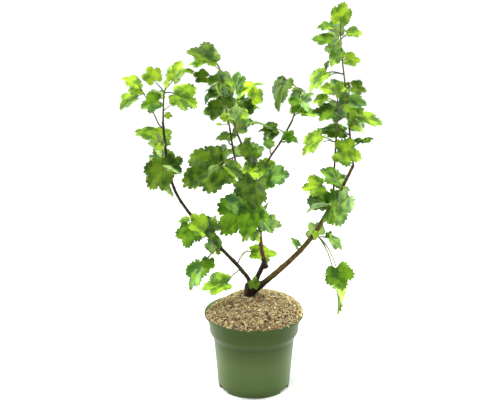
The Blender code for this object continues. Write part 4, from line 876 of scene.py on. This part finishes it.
def leafPlan(stem, leaf, seeds, shift):
    # what places one leaf, and the source's plain shape of it, as trees for the overlap tests
    f, rng = leafForm, np.random.default_rng(seeds)
    share, (reach, clock, forth), (length, bladeClock, roll, lean) = leaf
    width, fold, curl = (rng.uniform(*span) for span in (f["widths"], f["folds"], f["curls"]))
    length *= mm
    seat, _ = placeOn(stem, share)
    base = seat + reach * mm * heading(clock, forth) + shift * mm * np.array(f["sight"])
    plan = dict(
        rng=rng, width=width, fold=fold, curl=curl, length=length, seat=seat, base=base,
        axes=bladeAxes(bladeClock, lean - f["shiftLean"] * shift, roll), stout=np.interp(length, *f["stoutness"]))
    steps = next(steps for most, steps in f["stalkSteps"] if np.linalg.norm(base - seat) < most)
    _, stalk = stalkRings(plan, steps, f["stalkRadii"], f["stalkCorners"])
    turns = np.radians(next(angles for least, angles in f["rimAngles"].items() if length >= least * mm))
    reach = outlineReach(turns) * length
    side, ahead = width * reach * np.sin(turns), reach * np.cos(turns)
    side, ahead = np.r_[side, -side[:0:-1]], np.r_[ahead, ahead[:0:-1]]
    middle, thick = f["middle"] * length, max(f["thickness"] * length, f["thinnest"]) / 2
    rise = lift(0, middle, plan)
    lens = np.r_[np.c_[side, ahead, lift(side, ahead, plan)], [(0, middle, rise + thick)], [(0, middle, rise - thick)]]
    points = np.r_[stalk, base + lens @ plan["axes"]]
    count, top = len(stalk), len(stalk) + len(side)
    right, left, below = count - 3, count - 2, count - 1
    far, near = np.arange(count, count + len(turns)), np.arange(count + len(turns), top)
    upper, lower = np.r_[far, right, left, near], np.r_[far, right, below, left, near]
    fans = [np.stack((np.roll(rim, -1), rim, np.full(len(rim), tip)), -1) for rim, tip in ((upper, top), (lower, top + 1))]
    ring = np.arange(0, right, 3)[:, None]
    sides = [np.stack((ring + b, ring + a, ring + a + 3, ring + b + 3), -1) for a, b in ((0, 1), (1, 2), (2, 0))]
    plan["bladeTree"] = treeOf(points, np.concatenate(fans).tolist())
    plan["stalkTree"] = treeOf(points, [(0, 1, 2)] + np.concatenate(sides).reshape(-1, 4).tolist())
    return plan


def treeOf(points, faces):
    return BVHTree.FromPolygons(points.tolist(), faces, epsilon=clear), points.min(axis=0), points.max(axis=0)


def nodeTree(name):
    # the frame's own solid of a limb
    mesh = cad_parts[name].data
    points, corners = np.empty(3 * len(mesh.vertices)), np.empty(len(mesh.loops), np.int32)
    mesh.vertices.foreach_get("co", points)
    mesh.loops.foreach_get("vertex_index", corners)
    return treeOf(points.reshape(-1, 3), corners.reshape(-1, 3).tolist())


def touches(tree, others):
    bvh, low, high = tree
    return any(
        (low <= theirHigh + clear).all() and (high >= theirLow - clear).all() and bvh.overlap(theirs)
        for theirs, theirLow, theirHigh in others)


def leavesOf(spec, order):
    # each leaf of a mass as share, stalk and blade, the ones on its far side last
    f, count = leafForm, len(spec["leaves"])
    for number, leaf in enumerate(spec["leaves"]):
        share = leaf[0] if len(leaf) == 3 else 0.5 + 0.5 * (number + 1) / count
        length, clock, roll, *lean = leaf[-1]
        lean = lean[0] if lean else -f["lean"] * math.cos(math.radians(clock))
        yield share, leaf[-2], (length, clock, roll, lean)
    rng = np.random.default_rng((seed, order))
    for _ in range(spec.get("behind", 0)):
        stalk, blade = (tuple(rng.uniform(*span) for span in spans) for spans in (f["behindStalk"], f["behindBlade"]))
        yield rng.uniform(*f["behindShare"]), stalk, blade


def clearLeaf(stem, leaf, seeds, others, siblings):
    # the leaf at its first place along the line of sight where it is clear of all others, or else at the
    # first where only its stalk meets a blade of its own mass; there may be neither
    for stalkSiblings in (siblings, []):
        for shift in leafForm["shifts"]:
            plan = leafPlan(stem, leaf, seeds, shift)
            if not (touches(plan["bladeTree"], others + siblings) or touches(plan["stalkTree"], others + stalkSiblings)):
                return plan
    return None


def placeLeaves(limbs):
    # the source's rule: the stem of each mass, then its leaves, largest first and those on the far side last
    stems, trees, blades, plans, waiting = {}, {}, {}, {}, []
    for order, (name, spec) in enumerate(leafMasses.items()):
        path = grown(startClear(limbs[spec["of"]], spec), spec["internodes"])
        points, faces = tube(path, taper(path, spec.get("radii", spurRadii)), 5)
        faces = [[k for k in row if k >= 0] for row in faces.tolist()]
        stems[name], trees[name], blades[name], plans[name] = path, [treeOf(points, faces)], [], []
        waiting += [
            (number >= len(spec["leaves"]), leaf, name, (seed, order, number))
            for number, leaf in enumerate(leavesOf(spec, order))]
    waiting.sort(key=lambda item: (item[0], -item[1][2][0]))
    limbTrees = [nodeTree(name) for name in limbs]
    for far, leaf, name, seeds in waiting:
        others = limbTrees + [tree for mass, some in trees.items() if mass != name for tree in some]
        plan = clearLeaf(stems[name], leaf, seeds, others, blades[name])
        if plan is None:
            continue
        blades[name].append(plan["bladeTree"])
        trees[name] += [plan["bladeTree"], plan["stalkTree"]]
        # leaves on the far side get only the middle, dark and shaded tints, as painted shade
        plan["tint"] = "mdkm"[seeds[2] % 4] if far else leafMasses[name]["tints"][seeds[2]]
        plan["number"] = seeds[2]
        plans[name].append(plan)
    return stems, plans


def rimOf(length, rng):
    # the rim's turns and reaches, as shares of the length: the outline walked round in even steps, six for
    # each tooth, and pushed along its normal, out to a rounded crest or in to a sharp valley
    looks = leafLooks
    turns = np.linspace(-math.pi, math.pi, 1801)
    web = rng.uniform(*looks["webs"]) * np.interp(np.degrees(np.abs(turns)), *looks["web"], right=0)
    reach = np.maximum(outlineReach(turns), web)
    tall, narrow = looks["point"]
    for lobe in (-50, 0, 50):
        reach += tall * np.exp(-((np.degrees(turns) - lobe) / narrow) ** 2)
    reach *= np.interp(np.degrees(turns), (-94, -50, 0, 50, 94), rng.uniform(*looks["lobeLengths"], 5))
    line = np.stack((reach * np.sin(turns), reach * np.cos(turns)), -1)
    walked = np.r_[0, np.cumsum(np.linalg.norm(np.diff(line, axis=0), axis=1))]
    teeth = round(walked[-1] * length / (looks["pitch"][0] + looks["pitch"][1] * length))
    steps = len(looks["profile"])
    at = np.arange(steps * teeth) / (steps * teeth) * walked[-1]
    turn = np.interp(at, walked, turns)
    rim = np.stack([np.interp(at, walked, line[:, k]) for k in (0, 1)], -1)
    along = unit(np.roll(rim, -1, 0) - np.roll(rim, 1, 0))
    crest = np.tile(looks["profile"], teeth) * np.repeat(rng.uniform(0.55, 1.3, teeth), steps)
    fade = np.clip((2.3 - np.abs(turn)) / 0.5, 0, 1)
    rim += ((looks["tooth"][0] / length + looks["tooth"][1]) * crest * fade)[:, None] * np.stack((-along[:, 1], along[:, 0]), -1)
    turn, toothed = np.maximum.accumulate(np.arctan2(rim[:, 0], rim[:, 1])), np.hypot(rim[:, 0], rim[:, 1])
    return turn, toothed + fade * (np.interp(turn, turns, reach) - toothed), toothed


def fineBlade(plan, kind):
    # a grid of rings about the stalk, each the rim drawn in to its share, with less and less of its teeth.
    # It rises by fold and curl, by
    # pleats between the main veins, by a droop of each lobe and by waves at the margin. The same again a
    # little lower is the underside. The columns beside a main vein close in on it.
    looks, rng, length = leafLooks, plan["rng"], leafLooks["size"] * plan["length"]
    rings = next(rings for least, rings in looks["rings"] if length >= least)
    turn, reach, toothed = rimOf(length, rng)
    columns = len(turn)
    share = ((np.arange(1, rings + 1) / rings) ** 0.9)[:, None]
    out = share * (1 + np.clip(toothed / reach - 1, -0.4, 0.4) * share ** 5)
    turns = np.repeat(turn[None], rings, 0)
    veins, away = [], 1 - share[:, 0] ** 5
    for angle in (-94, -50, 0, 50, 94):
        vein = math.radians(angle)
        k = int(np.searchsorted(turn, vein))
        halfWidth = looks["vein"] * (1 - 0.7 * share[:, 0]) / (share[:, 0] * reach[k])
        for column, side, beyond in ((k - 1, -1, turn[k - 2]), (k, 1, turn[k + 1])):
            close = vein + side * np.minimum(halfWidth, 0.7 * abs(beyond - vein))
            turns[:, column] += away * (close - turn[column])
        veins.append(k - 1)
    across = plan["width"] * length * out * reach * np.sin(turns)
    ahead = length * out * reach * np.cos(turns)
    between = np.interp(np.abs(turn), np.radians((0, 25, 50, 76, 94, 134, 180)), (0, 1, 0, 1, 0, 0.5, 0.3))
    droop = np.interp(turn, np.radians((-94, -50, 0, 50, 94)), rng.uniform(*looks["droops"], 5))
    wave = rng.uniform(0, 6.28, 2)
    height = lift(across, ahead, plan) + length * (
        looks["pleat"] * out * between ** 2 * (3 - 2 * between) - droop * out ** 2.4
        + looks["margin"] * out ** 3 * (np.sin(3 * turn + wave[0]) + 0.6 * np.sin(5 * turn + wave[1])))
    thin = looks["edge"] + looks["body"] * length * (1 - share ** 3)
    sheets = [np.stack((across, ahead, height + side * thin / 2), -1).reshape(-1, 3) for side in (1, -1)]
    count = rings * columns
    points = np.concatenate((*sheets, [(0, 0, 0.0002)], [(0, 0, -0.0002)]))
    upper = ringFaces(rings, columns, 2 * count)
    lower = ringFaces(rings, columns, count + 1)
    lower = np.where(lower[:, 3:] < 0, lower[:, (0, 2, 1, 3)], lower[:, ::-1])
    lower = np.where(lower < 0, -1, lower + count)
    ring = np.arange(columns)
    after, last = (ring + 1) % columns, (rings - 1) * columns
    edge = np.stack((last + ring, last + after, count + last + after, count + last + ring), -1)
    isVein = np.zeros((rings - 1, columns), bool)
    isVein[:, veins] = True
    top, vein, under = kind
    kinds = np.r_[np.where(isVein.ravel(), vein, top), np.full(columns, top), np.full(len(lower), under), np.full(columns, top)]
    return plan["base"] + points @ plan["axes"], np.concatenate((upper, lower, edge)), kinds


def fineStalk(plan, kind):
    # the plain stalk's own curve, round and finer, which thickens where it leaves the stem and runs on
    # under the midrib
    turns = 2 * math.pi * np.arange(8) / 8
    corners = np.stack((np.cos(turns), -np.sin(turns)), -1)
    reach = np.linalg.norm(plan["base"] - plan["seat"])
    path, rings = stalkRings(plan, max(5, int(reach / 0.0025)), (1.4, 1.15, 1.05, 0.9), corners)
    ahead = 0.3 * plan["length"]
    tip = plan["base"] + np.array((0, ahead, lift(0, ahead, plan) - 0.0003)) @ plan["axes"]
    last = tip + (rings[-8:] - path[-1]) * 0.3
    points = np.r_[rings, last, path[:1], [tip]]
    rows = len(path) + 1
    return points, ringFaces(rows, 8, 8 * rows, 8 * rows + 1), kind


def leafMaterial(name, colour, roughness):
    # a leaf's plain colour clouded between a darker and a lighter copy of it, partly its own mottle and partly painted
    # shade and painted light for lobes turned away from or towards the light, with fine relief
    dark, light = (tuple(c * k for c, k in zip(colour, mottleAndShading)) for mottleAndShading in leafOther["mottleAndShading"])
    return mottled(name, dark, light, roughness, 55, 300, 0.6, (0.40, 0.60), leafOther["specular"])


def makeLeaves(limbs):
    # each mass as one piece: its twig, and the blades and stalks of its leaves
    stems, plans = placeLeaves(limbs)
    o, tints = leafOther, list(leafColours)
    pale = [tuple(c + o["veinShare"] * (v - c) for c, v in zip(colour, o["veinPale"])) for colour in leafColours.values()]
    materials = [leafMaterial("leaf " + tint, leafColours[tint], 0.42) for tint in tints]
    materials += [leafMaterial("leaf vein " + tint, colour, 0.5) for tint, colour in zip(tints, pale)]
    materials += [leafMaterial("leaf underside", o["under"], 0.65), leafMaterial("leaf stalk", o["stalk"], 0.5)]
    materials.append(mottled("young twig", tuple(0.5 * c for c in o["twig"]), o["twig"], 0.6, 300, 1500, 0.3))
    under, stalk, twig = (2 * len(tints) + k for k in range(3))
    total = 0
    for number, (name, spec) in enumerate(leafMasses.items()):
        path, rng = stems[name], np.random.default_rng((seed, 300 + number))
        parts = [(*barkSurface(path, taper(path, spec.get("radii", spurRadii)), rng, 0.8, 0.0015, 12, 0.0015), twig)]
        for plan in plans[name]:
            tint = tints.index(plan["tint"])
            parts += [fineBlade(plan, (tint, len(tints) + tint, under)), fineStalk(plan, stalk)]
        part = joined(parts)
        total += int((part[1] >= 0).sum() - 2 * len(part[1]))
        piece = name.replace("leaves_", "sprays_").replace("leaf_", "spray_")
        addPiece(piece, part, materials, name)
    print("leaves made:", sum(len(some) for some in plans.values()), "with", total, "triangles")


# camera, floor and light

studio = dict(
    cameraPlace=(-0.0076, -2.119, 1.045), cameraPitch=17.6, lens=86.4, floorSize=16.0, floorColour=0.93,
    surround=0.20, topLight=3.5, topSpread=50, topTurn=(5, -4), sideLight=30, sideSize=(0.7, 1.6), sidePlace=(1.05, 0.55, 0.6))


def makeStudio():
    # a pale floor, an even surround that lights less than it shows, a wide soft light from above and two tall soft lamps at the sides
    s = studio
    data = bpy.data.cameras.new("camera")
    data.lens, data.sensor_width = s["lens"], 36
    camera = bpy.data.objects.new("camera", data)
    camera.location = s["cameraPlace"]
    camera.rotation_euler = (math.radians(90 - s["cameraPitch"]), 0, 0)
    floorMesh = bpy.data.meshes.new("floor")
    corners = s["floorSize"] / 2 * np.array(((-1, -1, 0), (1, -1, 0), (1, 1, 0), (-1, 1, 0)))
    floorMesh.from_pydata((corners - (0, 0, 0.0002)).tolist(), [], [(0, 1, 2, 3)])
    floorMaterial, _, _ = plainMaterial("pale floor", (s["floorColour"],) * 3, 0.9, 0.1)
    floorMesh.materials.append(floorMaterial)
    floor = bpy.data.objects.new("floor", floorMesh)
    world = bpy.data.worlds.new("studio")
    world.use_nodes = True
    nodes, links = world.node_tree.nodes, world.node_tree.links
    lit, seen, mix, path = nodes["Background"], *map(nodes.new, (
        "ShaderNodeBackground", "ShaderNodeMixShader", "ShaderNodeLightPath"))
    for background, strength in ((lit, s["surround"]), (seen, 1)):
        background.inputs["Color"].default_value = (1, 1, 1, 1)
        background.inputs["Strength"].default_value = strength
    links.new(path.outputs["Is Camera Ray"], mix.inputs["Fac"])
    links.new(lit.outputs["Background"], mix.inputs[1])
    links.new(seen.outputs["Background"], mix.inputs[2])
    links.new(mix.outputs["Shader"], nodes["World Output"].inputs["Surface"])
    bpy.context.scene.world = world
    above = bpy.data.lights.new("light above", "SUN")
    above.energy, above.angle = s["topLight"], math.radians(s["topSpread"])
    lamps = [bpy.data.objects.new("light above", above)]
    lamps[0].rotation_euler = (*np.radians(s["topTurn"]), 0)
    for name, side in (("left lamp", -1), ("right lamp", 1)):
        light = bpy.data.lights.new(name, "AREA")
        light.shape = "RECTANGLE"
        light.energy = s["sideLight"]
        light.size, light.size_y = s["sideSize"]
        lamp = bpy.data.objects.new(name, light)
        lamp.location = (side * s["sidePlace"][0], *s["sidePlace"][1:])
        aim = Vector((0, 0, 0.35)) - lamp.location
        lamp.rotation_euler = aim.to_track_quat("-Z", "Y").to_euler()
        lamps.append(lamp)
    for thing in (camera, floor, *lamps):
        bpy.context.scene.collection.objects.link(thing)
    bpy.context.scene.camera = camera
    bpy.context.scene.view_settings.view_transform = "Standard"
    print("studio made")


makePot()
makeMulch()
makeLeaves(makeStems())
makeStudio()
